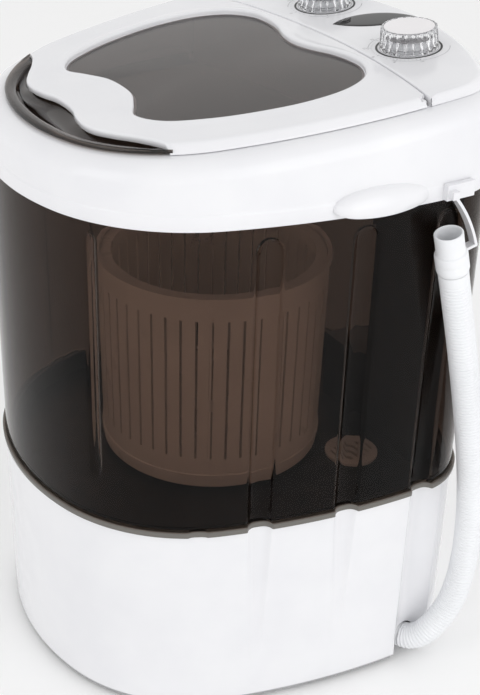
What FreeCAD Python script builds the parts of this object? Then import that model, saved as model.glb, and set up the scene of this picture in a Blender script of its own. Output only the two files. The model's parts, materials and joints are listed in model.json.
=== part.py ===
import FreeCAD, Part
import math
import os
from FreeCAD import Placement, Rotation, Vector

# Compact top-load washing machine with a see-through tub and a lift-out spin basket.
# Millimetres. +Z is up, the front faces -Y, and the origin is on the floor under the
# middle of the housing.

doc = FreeCAD.newDocument("washer")

# ---------------------------------------------------------------- driving sizes
SIZES = [
    # plan outline: five arcs on each side of the centre plane, all tangent
    ("nose_r", 210, "front arc radius"),
    ("nose_turn", 18, "degrees from the centre plane to the end of the front arc"),
    ("shoulder_r", 140, "front corner radius"),
    ("shoulder_turn", 72, "degrees from the centre plane to the end of the front corner"),
    ("flank_r", 590, "side arc radius"),
    ("corner_r", 60, "rear corner radius"),
    ("back_r", 300, "rear arc radius"),
    # heights above the floor
    ("plate_z", 4, "underside of the base plate, which is the height of the feet"),
    ("base_z", 7, "lower edge of the base housing"),
    ("tub_z", 184, "joint between the base and the tub"),
    ("floor_z", 171, "top face of the tub floor"),
    ("ring_z", 448, "lower edge of the top ring"),
    ("deck_z", 507, "top of the ring's rim on the centre line"),
    ("deck_tilt", 5.12, "degrees that the top rises towards the rear"),
    # walls
    ("wall", 3, "moulded wall"),
    ("base_inset", 0.8, "base housing inside the plan outline"),
    ("tub_inset", 1.0, "tub inside the plan outline"),
    ("flange_out", 2.0, "tub's lower flange outside the plan outline"),
    ("flange_h", 4.5, "height of the tub's lower flange"),
    ("rim_round", 16, "rounding of the top ring's shoulder"),
    ("lid_inset", 17.5, "lid and panel inside the plan outline"),
    ("mouth_inset", 24, "mouth of the top ring inside the plan outline"),
    ("rim_t", 3.5, "thickness of the ring's rim"),
    # lid and panel, measured from the rim's sloping plane
    ("lid_gap", 0.5, "air gap under the lid"),
    ("lid_top", 7.0, "top face of lid and panel above the rim"),
    ("lid_skin", 3.0, "thickness of the lid's and panel's top wall"),
    ("lid_bevel", 5.8, "bevel round the lid and the panel"),
    ("panel_back", 10, "panel's outline behind that of the lid"),
    ("seam_r", 700, "radius of the seam between lid and panel"),
    ("seam_y", 92.5, "the seam's rearmost point"),
    ("seam_gap", 1.4, "width of the seam"),
    ("hinge_y", 70.5, "lid hinge axis"),
    ("hinge_up", 3.3, "lid hinge axis above the rim"),
    ("hinge_pin_r", 1.2, "hinge pin radius"),
    ("hinge_x", 148, "inner end of a hinge pin from the centre plane"),
    # dials
    ("wash_x", 72.4, "wash dial to the right of the centre plane"),
    ("wash_y", 125.4, "wash dial behind the origin"),
    ("mode_x", -57, "mode dial, to the left of the centre plane"),
    ("mode_y", 135, "mode dial behind the origin"),
    ("knob_r", 23, "knob radius at its foot"),
    ("knob_top_r", 21.8, "knob radius at its top"),
    ("knob_h", 16.5, "knob height"),
    ("knob_flutes", 20, "grooves round a knob"),
    ("spindle_r", 3, "spindle radius"),
    ("fit", 0.05, "radial clearance of a running fit"),
    # spin basket and pulsator
    ("spin_y", -6, "spin axis behind the origin"),
    ("basket_r", 98.5, "basket radius at the rim"),
    ("basket_foot_r", 96, "basket radius at the foot"),
    ("basket_z", 175, "basket foot"),
    ("basket_top", 355, "basket rim"),
    ("basket_floor", 198, "underside of the basket's floor"),
    ("basket_wall", 2.5, "basket wall"),
    ("slot_count", 48, "slots round the basket"),
    ("slot_w", 2.2, "slot width"),
    ("pulsator_r", 84, "pulsator radius"),
    # drive
    ("shaft_r", 6, "drive shaft radius"),
    ("pulley_z", 40, "underside of both pulleys"),
    ("pulley_h", 14, "height of both pulleys"),
    ("big_r", 55, "drive pulley radius"),
    ("small_r", 14, "motor pulley radius"),
    ("motor_x", -105, "motor axis, to the right of the spin axis"),
    ("motor_y", 35, "motor axis, behind the spin axis"),
    ("motor_r", 42, "motor radius"),
    ("motor_z", 68, "underside of the motor"),
    ("motor_h", 62, "motor height"),
    # drain hose
    ("hose_r", 11.5, "hose outside radius"),
    ("hose_bore", 9.0, "hose inside radius"),
    ("cuff_r", 12.5, "radius of the cuff's band"),
    ("cuff_top_r", 10.9, "radius of the cuff's sleeve above the band"),
    ("cuff_bore", 9.2, "cuff inside radius"),
    ("cuff_l", 34, "cuff length"),
]
sheet = doc.addObject("Spreadsheet::Sheet", "P")
for row, (alias, value, note) in enumerate(SIZES, 1):
    sheet.set("A%d" % row, alias)
    sheet.set("B%d" % row, str(value))
    sheet.set("C%d" % row, note)
    sheet.setAlias("B%d" % row, alias)
doc.recompute()


def size(alias):
    return float(getattr(sheet, alias))


# ---------------------------------------------------------------- helpers
X_AXIS = Vector(1, 0, 0)
Y_AXIS = Vector(0, 1, 0)
Z_AXIS = Vector(0, 0, 1)
SIDES = (-1, 1)
published = {}


def bind(obj, **sizes):
    """Bind properties to expressions over the sheet; x, y and z are the position."""
    for key, expression in sizes.items():
        prop = "Placement.Base." + key if key in "xyz" else key
        obj.setExpression(prop, str(expression))
    return obj


def publish(obj, name, place=None):
    """Name a finished piece; its label becomes the name of its file."""
    obj.Label = name
    if place is not None:
        obj.Placement = place
    published[name] = obj
    return obj


def cylinder(name, radius, height, x=0, y=0, z=0, turn=None):
    obj = doc.addObject("Part::Cylinder", name)
    if turn is not None:
        obj.Placement.Rotation = turn
    return bind(obj, Radius=radius, Height=height, x=x, y=y, z=z)


def cone(name, foot_r, top_r, height, x=0, y=0, z=0):
    obj = doc.addObject("Part::Cone", name)
    return bind(obj, Radius1=foot_r, Radius2=top_r, Height=height, x=x, y=y, z=z)


def box(name, length, width, height, x, y, z):
    """A box given by its middle in x and y and by its underside."""
    obj = doc.addObject("Part::Box", name)
    corner_x = "%s - (%s) / 2" % (x, length)
    corner_y = "%s - (%s) / 2" % (y, width)
    return bind(obj, Length=length, Width=width, Height=height, x=corner_x, y=corner_y, z=z)


def solid(name, shape):
    """A piece whose shape follows the plan outline, read from the sheet."""
    obj = doc.addObject("Part::Feature", name)
    obj.Shape = shape
    return obj


def cut(name, base, *tools):
    tool = tools[0] if len(tools) == 1 else fuse(name + "_tools", *tools)
    obj = doc.addObject("Part::Cut", name)
    obj.Base = base
    obj.Tool = tool
    return obj


def fuse(name, *parts):
    obj = doc.addObject("Part::MultiFuse", name)
    obj.Shapes = list(parts)
    return obj


def group(name, *parts):
    obj = doc.addObject("Part::Compound", name)
    obj.Links = list(parts)
    return obj


def tube(name, outer_r, inner_r, height, x=0, y=0, z=0):
    wall = cylinder(name + "_wall", outer_r, height, x, y, z)
    bore = cylinder(name + "_bore", inner_r, height, x, y, z)
    return cut(name, wall, bore)


def level(edge, height):
    """True for an edge that lies flat at the given height."""
    b = edge.BoundBox
    return abs(b.ZMin - height) < 0.02 and abs(b.ZMax - height) < 0.02


# ---------------------------------------------------------------- plan outline
def towards(degrees):
    """Unit direction turned from the front (-Y) towards the right (+X)."""
    angle = math.radians(degrees)
    return Vector(math.sin(angle), -math.cos(angle), 0)


nose_r = size("nose_r")
shoulder_r = size("shoulder_r")
flank_r = size("flank_r")
corner_r = size("corner_r")
back_r = size("back_r")
nose_turn = size("nose_turn")
shoulder_turn = size("shoulder_turn")

nose_c = Vector(0, nose_r, 0)
shoulder_c = nose_c + towards(nose_turn) * (nose_r - shoulder_r)
flank_c = shoulder_c + towards(shoulder_turn) * (shoulder_r - flank_r)
corner_c = Vector(flank_c.x + flank_r - corner_r, flank_c.y, 0)
back_drop = math.sqrt((back_r - corner_r) ** 2 - corner_c.x ** 2)
back_c = Vector(0, corner_c.y - back_drop, 0)
back_turn = 180 - math.degrees(math.atan2(corner_c.x, back_drop))
depth = back_c.y + back_r
to_middle = Vector(0, -depth / 2, 0)
# centre, radius and turns of each arc on the right side, front to rear
ARCS = [
    (shoulder_c + to_middle, shoulder_r, nose_turn, shoulder_turn),
    (flank_c + to_middle, flank_r, shoulder_turn, 90),
    (corner_c + to_middle, corner_r, 90, back_turn),
]
half_width = flank_c.x + flank_r
back_y = depth / 2


def arc_edge(centre, radius, start, end):
    return Part.Arc(
        centre + towards(start) * radius,
        centre + towards((start + end) / 2) * radius,
        centre + towards(end) * radius,
    ).toShape()


def outline(inset=0.0):
    """The plan outline as a closed wire, moved inwards by the inset."""
    edges = [arc_edge(nose_c + to_middle, nose_r - inset, -nose_turn, nose_turn)]
    for centre, radius, start, end in ARCS:
        edges.append(arc_edge(centre, radius - inset, start, end))
    edges.append(arc_edge(back_c + to_middle, back_r - inset, back_turn, 360 - back_turn))
    for centre, radius, start, end in reversed(ARCS):
        mirrored = Vector(-centre.x, centre.y, 0)
        edges.append(arc_edge(mirrored, radius - inset, -end, -start))
    return Part.Wire(Part.__sortEdges__(edges))


def side_x(y, inset=0.0):
    """Half width of the outline at a given y, on the side and rear corner arcs."""
    centre, radius, _, _ = ARCS[1] if y < ARCS[2][0].y else ARCS[2]
    return centre.x + math.sqrt((radius - inset) ** 2 - (y - centre.y) ** 2)


def slab(inset, low, high):
    """The outline as a solid between two heights."""
    face = Part.Face(outline(inset))
    face.translate(Vector(0, 0, low))
    return face.extrude(Vector(0, 0, high - low))


def sleeve(outer_inset, inner_inset, low, high):
    """A wall that follows the outline."""
    return slab(outer_inset, low, high).cut(slab(inner_inset, low, high))


def disc(radius, low, high, x=0.0, y=0.0):
    return Part.makeCylinder(radius, high - low, Vector(x, y, low))


# The top deck slopes up to the rear. Lid, panel and dials are built level, with the rim
# at height zero, and then laid on this plane. The drive is built round the origin and
# then moved to the spin axis.
SPIN = Placement(Vector(0, size("spin_y"), 0), Rotation())
DECK = Placement(Vector(0, 0, size("deck_z")), Rotation(X_AXIS, size("deck_tilt")))
REACH = 600.0


def below_deck(shape, drop=0.0):
    """Trim a shape to what lies under the deck plane, less the drop."""
    lid_space = Part.makeBox(REACH, REACH, REACH, Vector(-REACH / 2, -REACH / 2, -drop))
    lid_space.Placement = DECK
    return shape.cut(lid_space)


# ---------------------------------------------------------------- flutes
# Upright grooves pressed into the tub wall: where each one is, how wide its round tool
# is, how deep it bites and where it starts and ends.
FLUTE_TOP = size("ring_z") - 22
FLUTES = [
    {"y": -103, "tool_r": 11, "bite": 2.2, "low": size("floor_z"), "high": FLUTE_TOP + 8},
    {"y": -55, "tool_r": 13, "bite": 6.5, "low": size("floor_z") - 8, "high": FLUTE_TOP},
    {"y": 18, "tool_r": 13, "bite": 6.5, "low": size("floor_z") - 8, "high": FLUTE_TOP},
    {"y": 90, "tool_r": 13, "bite": 6.5, "low": size("floor_z") - 8, "high": FLUTE_TOP},
]
FRONT_RIB = {"x": 94, "tool_r": 7, "bite": 2.0, "low": 232, "high": FLUTE_TOP + 6}


def on_outline(y, inset=0.0):
    """The point of the right side at a given y, and the outward direction there."""
    if y < ARCS[1][0].y - ARCS[1][1] * math.cos(math.radians(shoulder_turn)):
        centre, radius, _, _ = ARCS[0]
    else:
        centre, radius, _, _ = ARCS[1] if y <= ARCS[2][0].y else ARCS[2]
    reach = radius - inset
    x = centre.x + math.sqrt(reach ** 2 - (y - centre.y) ** 2)
    point = Vector(x, y, 0)
    return point, (point - centre).normalize()


def on_front(x, inset=0.0):
    """The point of the front corner at a given x, and the outward direction there."""
    centre, radius, _, _ = ARCS[0]
    reach = radius - inset
    point = Vector(x, centre.y - math.sqrt(reach ** 2 - (x - centre.x) ** 2), 0)
    return point, (point - centre).normalize()


def mirrored(shape):
    return shape.mirror(Vector(0, 0, 0), X_AXIS)


def flute_tools(grow):
    """Round-topped cutters for all flutes, grown to leave the wall's thickness."""
    tools = []
    places = [(flute, on_outline(flute["y"])) for flute in FLUTES]
    places.append((FRONT_RIB, on_front(FRONT_RIB["x"])))
    for flute, (point, outward) in places:
        axis = point + outward * (flute["tool_r"] - flute["bite"])
        radius = flute["tool_r"] + grow
        low = flute["low"] - grow
        post = disc(radius, low, flute["high"], axis.x, axis.y)
        dome = Part.makeSphere(radius, Vector(axis.x, axis.y, flute["high"]))
        shape = post.fuse(dome)
        if flute is FRONT_RIB:
            shape = shape.fuse(Part.makeSphere(radius, Vector(axis.x, axis.y, low)))
        tools.append(shape)
        tools.append(mirrored(shape))
    return tools


# ---------------------------------------------------------------- swept routes
def route_wire(points):
    """Straight runs joined by tangent arcs; also returns the arc radii."""
    edges = []
    radii = []
    start = points[0]
    for before, corner, after in zip(points, points[1:], points[2:]):
        back = before - corner
        ahead = after - corner
        half_turn = (math.pi - back.getAngle(ahead)) / 2
        trim = 0.45 * min(back.Length, ahead.Length)
        radius = trim / math.tan(half_turn)
        radii.append(radius)
        back.normalize()
        ahead.normalize()
        arc_start = corner + back * trim
        arc_end = corner + ahead * trim
        inner = back + ahead
        inner.normalize()
        centre = corner + inner * (radius / math.cos(half_turn))
        arc_mid = centre - inner * radius
        edges.append(Part.LineSegment(start, arc_start).toShape())
        edges.append(Part.Arc(arc_start, arc_mid, arc_end).toShape())
        start = arc_end
    edges.append(Part.LineSegment(start, points[-1]).toShape())
    return Part.Wire(edges), radii


def pipe(path, points, radius):
    heading = points[1] - points[0]
    ring = Part.Wire(Part.makeCircle(radius, points[0], heading))
    return path.makePipeShell([ring], True, False)


# ================================================================ base
foot_xy = [(sx * 118, y) for sx in SIDES for y in (-95, 112)]
feet = []
for i, (x, y) in enumerate(foot_xy):
    pad = cone("foot_pad%d" % i, 13, 15, "P.plate_z", x, y, 0)
    stem = cylinder("foot_stem%d" % i, 3.9, 6, x, y, "P.plate_z")
    feet.append(fuse("foot%d" % i, pad, stem))
publish(group("feet", *feet), "rubber_feet")

plate_holes = [disc(4, 0, REACH / 2, x, y) for x, y in foot_xy]
screw_xy = [(sx * (side_x(y) - 12), y) for sx in SIDES for y in (-25, 38)]
plate_holes += [disc(1.7, 0, REACH / 2, x, y) for x, y in screw_xy]
plate = slab(2.5, size("plate_z"), size("base_z"))
plate_holes.append(disc(16, 0, REACH / 2, 180, 95))
VENT_COUNT = 7
for i in range(VENT_COUNT):
    vent = Part.makeBox(5, 70, 20, Vector(-105 + (i - (VENT_COUNT - 1) / 2) * 12, 0, 0))
    plate_holes.append(vent)
publish(solid("plate", plate.cut(plate_holes)), "base_plate")

# The base housing is an open tube; the tub's flutes run on into it and fade out, and a
# hollow behind the hose leads down to the hose's opening.
base_inset = size("base_inset")
wall = size("wall")
tub_z = size("tub_z")
base_z = size("base_z")


def fading_flute(y, bite, length, grow):
    """A leaning cylinder, so the groove is deepest at the tub and dies out below."""
    point, outward = on_outline(y, base_inset)
    tool_r = 16.0
    lean = math.degrees(math.atan2(bite, length))
    tool = Part.makeCylinder(tool_r + grow, length * 1.6, Vector(0, 0, -length * 1.5))
    side = Z_AXIS.cross(outward)
    tool.Placement = Placement(
        Vector(*(point + outward * (tool_r - bite))) + Vector(0, 0, tub_z),
        Rotation(side, -lean),
    )
    return tool


CHANNEL_LOW = 26


def base_grooves(grow):
    tools = []
    for y, bite, length in ((-55, 3.2, 130), (18, 3.2, 125)):
        tool = fading_flute(y, bite, length, grow)
        tools.append(tool)
        tools.append(mirrored(tool))
    point, outward = on_outline(100, base_inset)
    channel_r = 22.0
    axis = point + outward * (channel_r - 9)
    channel = disc(channel_r + grow, CHANNEL_LOW, tub_z + 5, axis.x, axis.y)
    channel = channel.fuse(Part.makeSphere(channel_r + grow, Vector(axis.x, axis.y, CHANNEL_LOW)))
    tools.append(channel)
    tools.append(mirrored(channel))
    return tools


# route of the drain hose, from the spigot inside the base up to its cuff
HOSE = [
    Vector(160.5, 89, 21),
    Vector(176, 94, 19),
    Vector(189, 102.5, 25.5),
    Vector(195.5, 113.5, 41),
    Vector(198.5, 127, 64),
    Vector(198.5, 134.9, 101),
    Vector(198.5, 134.4, 152),
    Vector(198.5, 127.5, 208),
    Vector(198.5, 114, 272),
    Vector(198.5, 99, 336),
    Vector(198.5, 83.2, 396),
]
hose_r = size("hose_r")
exit_way = HOSE[1] - HOSE[0]
exit_way.normalize()
OPENING_R = hose_r + 3
arch_top = Part.makeCylinder(OPENING_R, 70, HOSE[1] - exit_way * 30, exit_way)
arch_base = Part.makeBox(70, 2 * OPENING_R, 2 * OPENING_R, Vector(0, -OPENING_R, -2 * OPENING_R))
arch_base.Placement = Placement(HOSE[1] - exit_way * 30, Rotation(X_AXIS, exit_way))
gland_z = 38
gland_hole = Part.makeCylinder(8, 40, Vector(0, back_y - 20, gland_z), Y_AXIS)

shell_out = slab(base_inset, base_z, tub_z).cut(base_grooves(0))
shell_in = slab(base_inset + wall, base_z, tub_z).cut(base_grooves(wall))
base_shell = shell_out.cut(shell_in)
BOSS_H = 11
bosses = []
for x, y in screw_xy:
    rib = Part.makeBox(20, 4, BOSS_H, Vector(min(x, x + math.copysign(20, x)), y - 2, base_z))
    boss = disc(5, base_z, base_z + BOSS_H, x, y).fuse(rib)
    bosses.append(boss.common(slab(2, base_z, tub_z)))
screw_holes = [disc(1.6, 0, base_z + BOSS_H - 2, x, y) for x, y in screw_xy]
base_shell = base_shell.fuse(bosses).cut(screw_holes)
base_shell = base_shell.cut([arch_top, arch_base, gland_hole]).removeSplitter()
publish(solid("base_shell", base_shell), "base_housing")

screws = []
for i, (x, y) in enumerate(screw_xy):
    head = cylinder("screw_head%d" % i, 4, 2, x, y, "P.plate_z - 2")
    body = cylinder("screw_body%d" % i, 1.55, 10, x, y, "P.plate_z")
    screws.append(fuse("screw%d" % i, head, body))
publish(group("plate_screws", *screws), "base_screws")

along_y = Rotation(X_AXIS, -90)
gland_rim = cylinder("gland_rim", 11, 3, 0, back_y - 0.8, gland_z, along_y)
gland_neck = cylinder("gland_neck", 7.9, 16, 0, back_y - 12, gland_z, along_y)
gland_bore = cylinder("gland_bore", 4, 30, 0, back_y - 20, gland_z, along_y)
publish(cut("gland", fuse("gland_body", gland_rim, gland_neck), gland_bore), "cord_gland")

# ================================================================ tub
tub_inset = size("tub_inset")
floor_z = size("floor_z")
ring_z = size("ring_z")
FLOOR_T = 6.0
COLLAR_TOP = ring_z + 12

tub_out = slab(tub_inset, tub_z, ring_z - 0.2).cut(flute_tools(0))
flange = slab(-size("flange_out"), tub_z, tub_z + size("flange_h")).cut(flute_tools(0))
tub_in = slab(tub_inset + wall, tub_z, ring_z).cut(flute_tools(wall))
tub_wall = tub_out.fuse(flange).cut(tub_in)
collar = sleeve(wall + 0.3, wall + 2.8, ring_z - 8, COLLAR_TOP)
publish(solid("tub_wall", tub_wall.fuse(collar).removeSplitter()), "outer_tub")

# black floor pan, standing inside the foot of the tub and the top of the base
pan = slab(6.2, floor_z - FLOOR_T, tub_z + 6).cut(flute_tools(wall + 0.4))
pan_room = slab(9, floor_z, tub_z + 7).cut(flute_tools(wall + 3.4))
drain_x = 92
drain_y = 85
pan = pan.cut(pan_room).cut(base_grooves(wall + 0.4))
spin_y = size("spin_y")
pan = pan.cut([disc(15.95, 0, REACH, 0, spin_y), disc(16, 0, REACH, drain_x, drain_y)])
publish(solid("pan", pan), "tub_floor")

seal = sleeve(4.4, 6.0, tub_z + 1, tub_z + 5).cut(flute_tools(wall + 0.4))
publish(solid("seal_ring", seal), "tub_gasket")

cover = cylinder("cover_disc", 23, 2.4, drain_x, drain_y, "P.floor_z")
slots = [
    box("cover_slot%d" % i, 30 - abs(i) * 5, 2.2, 6, drain_x, drain_y + i * 5.5, "P.floor_z - 1")
    for i in range(-3, 4)
]
publish(cut("cover_cut", cover, *slots), "drain_cover")

# wiring and overflow duct against the rear wall, with a wider housing at its foot
DUCT_Y = 121
column = slab(9.4, floor_z, ring_z + 3.5).common(
    Part.makeBox(80, 100, REACH, Vector(50, DUCT_Y, 0))
)
foot = slab(10.5, floor_z, 235).common(Part.makeBox(135, 100, REACH, Vector(-5, DUCT_Y, 0)))
hollow = slab(11.9, floor_z, ring_z + 3.5).common(
    Part.makeBox(75, 100, REACH, Vector(52.5, DUCT_Y + 2.5, 0))
)
duct = column.fuse(foot).cut(hollow).cut(flute_tools(wall + 3.8)).removeSplitter()
publish(solid("duct", duct), "rear_duct")

# ================================================================ top ring
ring_out = below_deck(slab(0, ring_z, REACH))


def on_deck(edge):
    points = [DECK.inverse().multVec(v.Point).z for v in edge.Vertexes]
    return all(abs(z) < 0.05 for z in points)


rim_edges = [edge for edge in ring_out.Edges if on_deck(edge)]
ring_out = ring_out.makeFillet(size("rim_round"), rim_edges)
band = slab(-0.7, ring_z, ring_z + 12)
ring_room = below_deck(slab(wall, ring_z - 1, REACH), size("rim_t"))
mouth = slab(size("mouth_inset"), ring_z, REACH)
ring = ring_out.fuse(band).cut([ring_room, mouth])

# hand grips: a lip outside each flank, bulging towards its middle and open below
GRIP_Y = 30.0
GRIP_Z = ring_z + 7
GRIP_R = 14.5
GRIP_HALF = 42.0
GRIP_TAPER = 60.0
GRIP_WALL = 2.4
grip_x = side_x(GRIP_Y) - 5


def spindle(radius, half):
    """A pointed body of revolution along Y at the right grip's place, and its half plan."""
    middle = Vector(grip_x, GRIP_Y, GRIP_Z)
    ends = [middle - Y_AXIS * GRIP_TAPER, middle + Y_AXIS * GRIP_TAPER]
    arc = Part.Arc(ends[0], middle + X_AXIS * radius, ends[1]).toShape()
    half_plan = Part.Face(Part.Wire([arc, Part.LineSegment(ends[1], ends[0]).toShape()]))
    span = Part.makeBox(REACH, 2 * half, REACH, Vector(0, GRIP_Y - half, 0))
    drop = half_plan.extrude(Z_AXIS * -2 * GRIP_R).common(span)
    return half_plan.revolve(middle, Y_AXIS, 360).common(span), drop


grip_body, _ = spindle(GRIP_R, GRIP_HALF)
grip_room, grip_mouth = spindle(GRIP_R - GRIP_WALL, GRIP_HALF - GRIP_WALL)
grip = grip_body.cut([grip_room, grip_mouth, slab(-0.7, 0, REACH)])
publish(solid("grip_right", grip), "right_hand_grip")
publish(solid("grip_left", mirrored(grip)), "left_hand_grip")
publish(solid("ring", ring), "top_ring")

# ================================================================ control box
seam_r = size("seam_r")
seam_c_y = size("seam_y") - seam_r
TRAY_Z = ring_z + 4
tray_zone = disc(seam_r + 6.5, 0, REACH, 0, seam_c_y)
tray_floor = slab(wall + 3.2, TRAY_Z, TRAY_Z + 2.5).cut(disc(seam_r + 4.5, 0, REACH, 0, seam_c_y))
tray_wall = slab(wall + 3.2, TRAY_Z, REACH).common(tray_zone)
tray_wall = tray_wall.cut(disc(seam_r + 4, 0, REACH, 0, seam_c_y))
tray_wall = below_deck(tray_wall, size("rim_t") + 0.2)
tray = tray_floor.fuse(tray_wall).removeSplitter()
publish(solid("tray", tray), "control_tray")

lid_inset = size("lid_inset")
lid_top = size("lid_top")
lid_skin = size("lid_skin")
lid_gap = size("lid_gap")
lid_bevel = size("lid_bevel")
seam_gap = size("seam_gap")
behind_seam = disc(seam_r + seam_gap, -50, 50, 0, seam_c_y)
dials = {switch: (size(switch + "_x"), size(switch + "_y")) for switch in ("wash", "mode")}


def deck_slab(inset, low, high):
    """The outline on the sloping deck, bevelled along its upper edge."""
    plate_shape = slab(inset, low, high)
    edges = [edge for edge in plate_shape.Edges if level(edge, high)]
    return plate_shape.makeChamfer(lid_bevel, edges)


LEAF_MIDDLE = Vector(5, 142, 0)
LEAF_LEAN = 26.7


def leaf(grow, low, high):
    """Pointed leaf between the dials, fuller on its left, leaning to the right."""
    half_l = 34.5 + grow * 1.6
    across = towards(90 - LEAF_LEAN)
    sides = []
    for bulge, way in ((18.5 + grow, 1), (12.5 + grow, -1)):
        bend = (bulge ** 2 + half_l ** 2) / (2 * bulge)
        centre = LEAF_MIDDLE + across * way * (bend - bulge)
        sides.append(disc(bend, low, high, centre.x, centre.y))
    return sides[0].common(sides[1])


def set_back(shape):
    """Move from the lid's outline to the panel's."""
    shape.translate(Y_AXIS * size("panel_back"))
    return shape


# the panel reaches over the ring's rear shoulder, and its skirt follows the shoulder
PANEL_SKIRT = 5.0
flat_rim = size("rim_round") + 0.2
shoulder = ring_out.copy()
shoulder.Placement = DECK.inverse()
shoulder.translate(Z_AXIS * 0.3)
shoulder = shoulder.cut(slab(flat_rim, -REACH, REACH))
panel = set_back(deck_slab(lid_inset, -PANEL_SKIRT, lid_top)).cut(behind_seam)
panel = panel.cut([slab(flat_rim, -REACH, 0), shoulder])
panel_room = set_back(slab(lid_inset + 7, -1, lid_top - lid_skin))
panel_room = panel_room.cut(disc(seam_r + 4, -50, 50, 0, seam_c_y))
lip_wall = slab(size("mouth_inset") + 0.4, -size("rim_t"), 0).cut(behind_seam)
lip_wall = lip_wall.common(disc(seam_r + 4, -50, 50, 0, seam_c_y))
panel = panel.cut(panel_room).fuse(lip_wall)
panel_cuts = [leaf(0.1, lid_top - 1.6, lid_top + 1)]
for x, y in dials.values():
    panel_cuts.append(disc(size("spindle_r") + 1.5, -5, 50, x, y))
    groove = disc(26.0, lid_top - 0.8, 50, x, y)
    panel_cuts.append(groove.cut(disc(24.2, -5, 50, x, y)))
panel = panel.cut(panel_cuts).removeSplitter()
publish(solid("panel", panel), "control_panel", DECK)
publish(solid("lens", leaf(0, lid_top - 1.6, lid_top + 0.5)), "panel_lens", DECK)

for dial, switch in (("wash_timer", "wash"), ("mode_switch", "mode")):
    x, y = dials[switch]
    case = box(dial + "_case", 42, 42, 30, x, y, -36)
    neck = cylinder(dial + "_neck", 9, "6 + P.lid_top - P.lid_skin", x, y, -6)
    bore = cylinder(dial + "_bore", "P.spindle_r + P.fit", 60, x, y, -20)
    body = cut(dial + "_body", fuse(dial + "_frame", case, neck), bore)
    publish(body, dial, DECK)
    rod = cylinder(switch + "_rod", "P.spindle_r", "32 + P.lid_top", x, y, -18)
    publish(group(switch + "_rod_set", rod), switch + "_spindle", DECK)
    ring_tube = tube(switch + "_ring", 25.9, 24.3, 1.0, x, y, "P.lid_top - 0.8")
    publish(ring_tube, switch + "_dial_ring", DECK)
    # fluted clear knob, hollow under its skirt, pressed on its spindle
    barrel = cone(switch + "_barrel", "P.knob_r", "P.knob_top_r", "P.knob_h", x, y,
                  "P.lid_top + 0.5")
    count = int(size("knob_flutes"))
    flutes = []
    for i in range(count):
        angle = 2 * math.pi * i / count
        flute_x = x + (size("knob_r") + 0.9) * math.cos(angle)
        flute_y = y + (size("knob_r") + 0.9) * math.sin(angle)
        flutes.append(disc(2.4, lid_top + 3, lid_top + 40, flute_x, flute_y))
    grooves = solid(switch + "_flutes", Part.makeCompound(flutes))
    skirt_room = cylinder(switch + "_skirt", "P.knob_r - 5", 8, x, y, "P.lid_top - 1")
    socket = cylinder(switch + "_socket", "P.spindle_r", 15, x, y, "P.lid_top - 1")
    knob = cut(switch + "_knob_cut", barrel, grooves, skirt_room, socket)
    publish(knob, switch + "_knob", DECK)

# ================================================================ lid
LOBES = [
    # x from the centre plane and y of the window's edge, front to rear
    (0, -88), (20, -90), (38, -98), (58, -107), (80, -97), (98, -68), (110, -32),
    (116, 5), (113, 40), (100, 64), (80, 76), (62, 78), (40, 75), (18, 68), (0, 65.5),
]


def window(low, high, scale=1.0):
    """The lid's window, with a tongue at the front and a dip at the rear."""
    middle_y = -14.0
    right = [Vector(x * scale, middle_y + (y - middle_y) * scale, low) for x, y in LOBES]
    left = [Vector(-p.x, p.y, p.z) for p in reversed(right[1:-1])]
    curve = Part.BSplineCurve()
    curve.interpolate(Points=right + left, PeriodicFlag=True)
    face = Part.Face(Part.Wire(curve.toShape()))
    return face.extrude(Vector(0, 0, high - low))


SCOOP = [
    # inner edge of the finger recess, from the centre plane outwards
    (0, -137), (15, -138), (30, -142), (46, -144), (60, -142), (76, -134), (94, -123),
    (116, -114), (136, -116),
]


def scoop_zone(low, high, move=0.0):
    """What lies in front of the finger recess's inner edge."""
    right = [Vector(x, y + move, low) for x, y in SCOOP]
    left = [Vector(-p.x, p.y, p.z) for p in reversed(right[1:])]
    curve = Part.BSplineCurve()
    curve.interpolate(Points=left + right)
    far_right = Vector(220, -120 + move, low)
    corner_right = Vector(220, -230, low)
    ends = [right[-1], far_right, corner_right, Vector(-220, -230, low),
            Vector(-220, -120 + move, low), left[0]]
    edges = [curve.toShape()]
    edges += [Part.LineSegment(a, b).toShape() for a, b in zip(ends, ends[1:])]
    face = Part.Face(Part.Wire(Part.__sortEdges__(edges)))
    return face.extrude(Vector(0, 0, high - low))


before_seam = disc(seam_r, -50, 50, 0, seam_c_y)
SEAM_BEVEL = 1.0
bevel_start = Vector(0, seam_c_y, lid_top - SEAM_BEVEL)
seam_bevel = disc(seam_r + 30, bevel_start.z, lid_top + SEAM_BEVEL, 0, seam_c_y)
seam_bevel = seam_bevel.cut(Part.makeCone(seam_r, seam_r - 2 * SEAM_BEVEL, 2 * SEAM_BEVEL, bevel_start))
frame = deck_slab(lid_inset, lid_gap, lid_top).common(before_seam).cut(seam_bevel)
skirt_zone = slab(lid_inset + lid_bevel, lid_gap - 1, lid_top - lid_skin)
frame_room = skirt_zone.common(disc(seam_r - 5, -50, 50, 0, seam_c_y))
ridge = window(lid_top - 1, lid_top + 1.2, 1.03)
frame = frame.fuse(ridge)
frame = frame.cut([frame_room, window(-5, 50), scoop_zone(lid_gap - 2, 50)])
hinge_x = size("hinge_x")
hinge_y = size("hinge_y")
hinge_up = size("hinge_up")
pin_r = size("hinge_pin_r")
PIN_L = 14.6
EAR_L = 10.8
LUG_W = 2.8
LUG_R = 2.0
KNUCKLE_R = 2.8
HEEL = 2.6
LUG_ROOM = 0.3
ear = Part.makeBox(EAR_L, 8, lid_top - 1 - lid_gap, Vector(hinge_x, hinge_y - 4, lid_gap))
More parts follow.
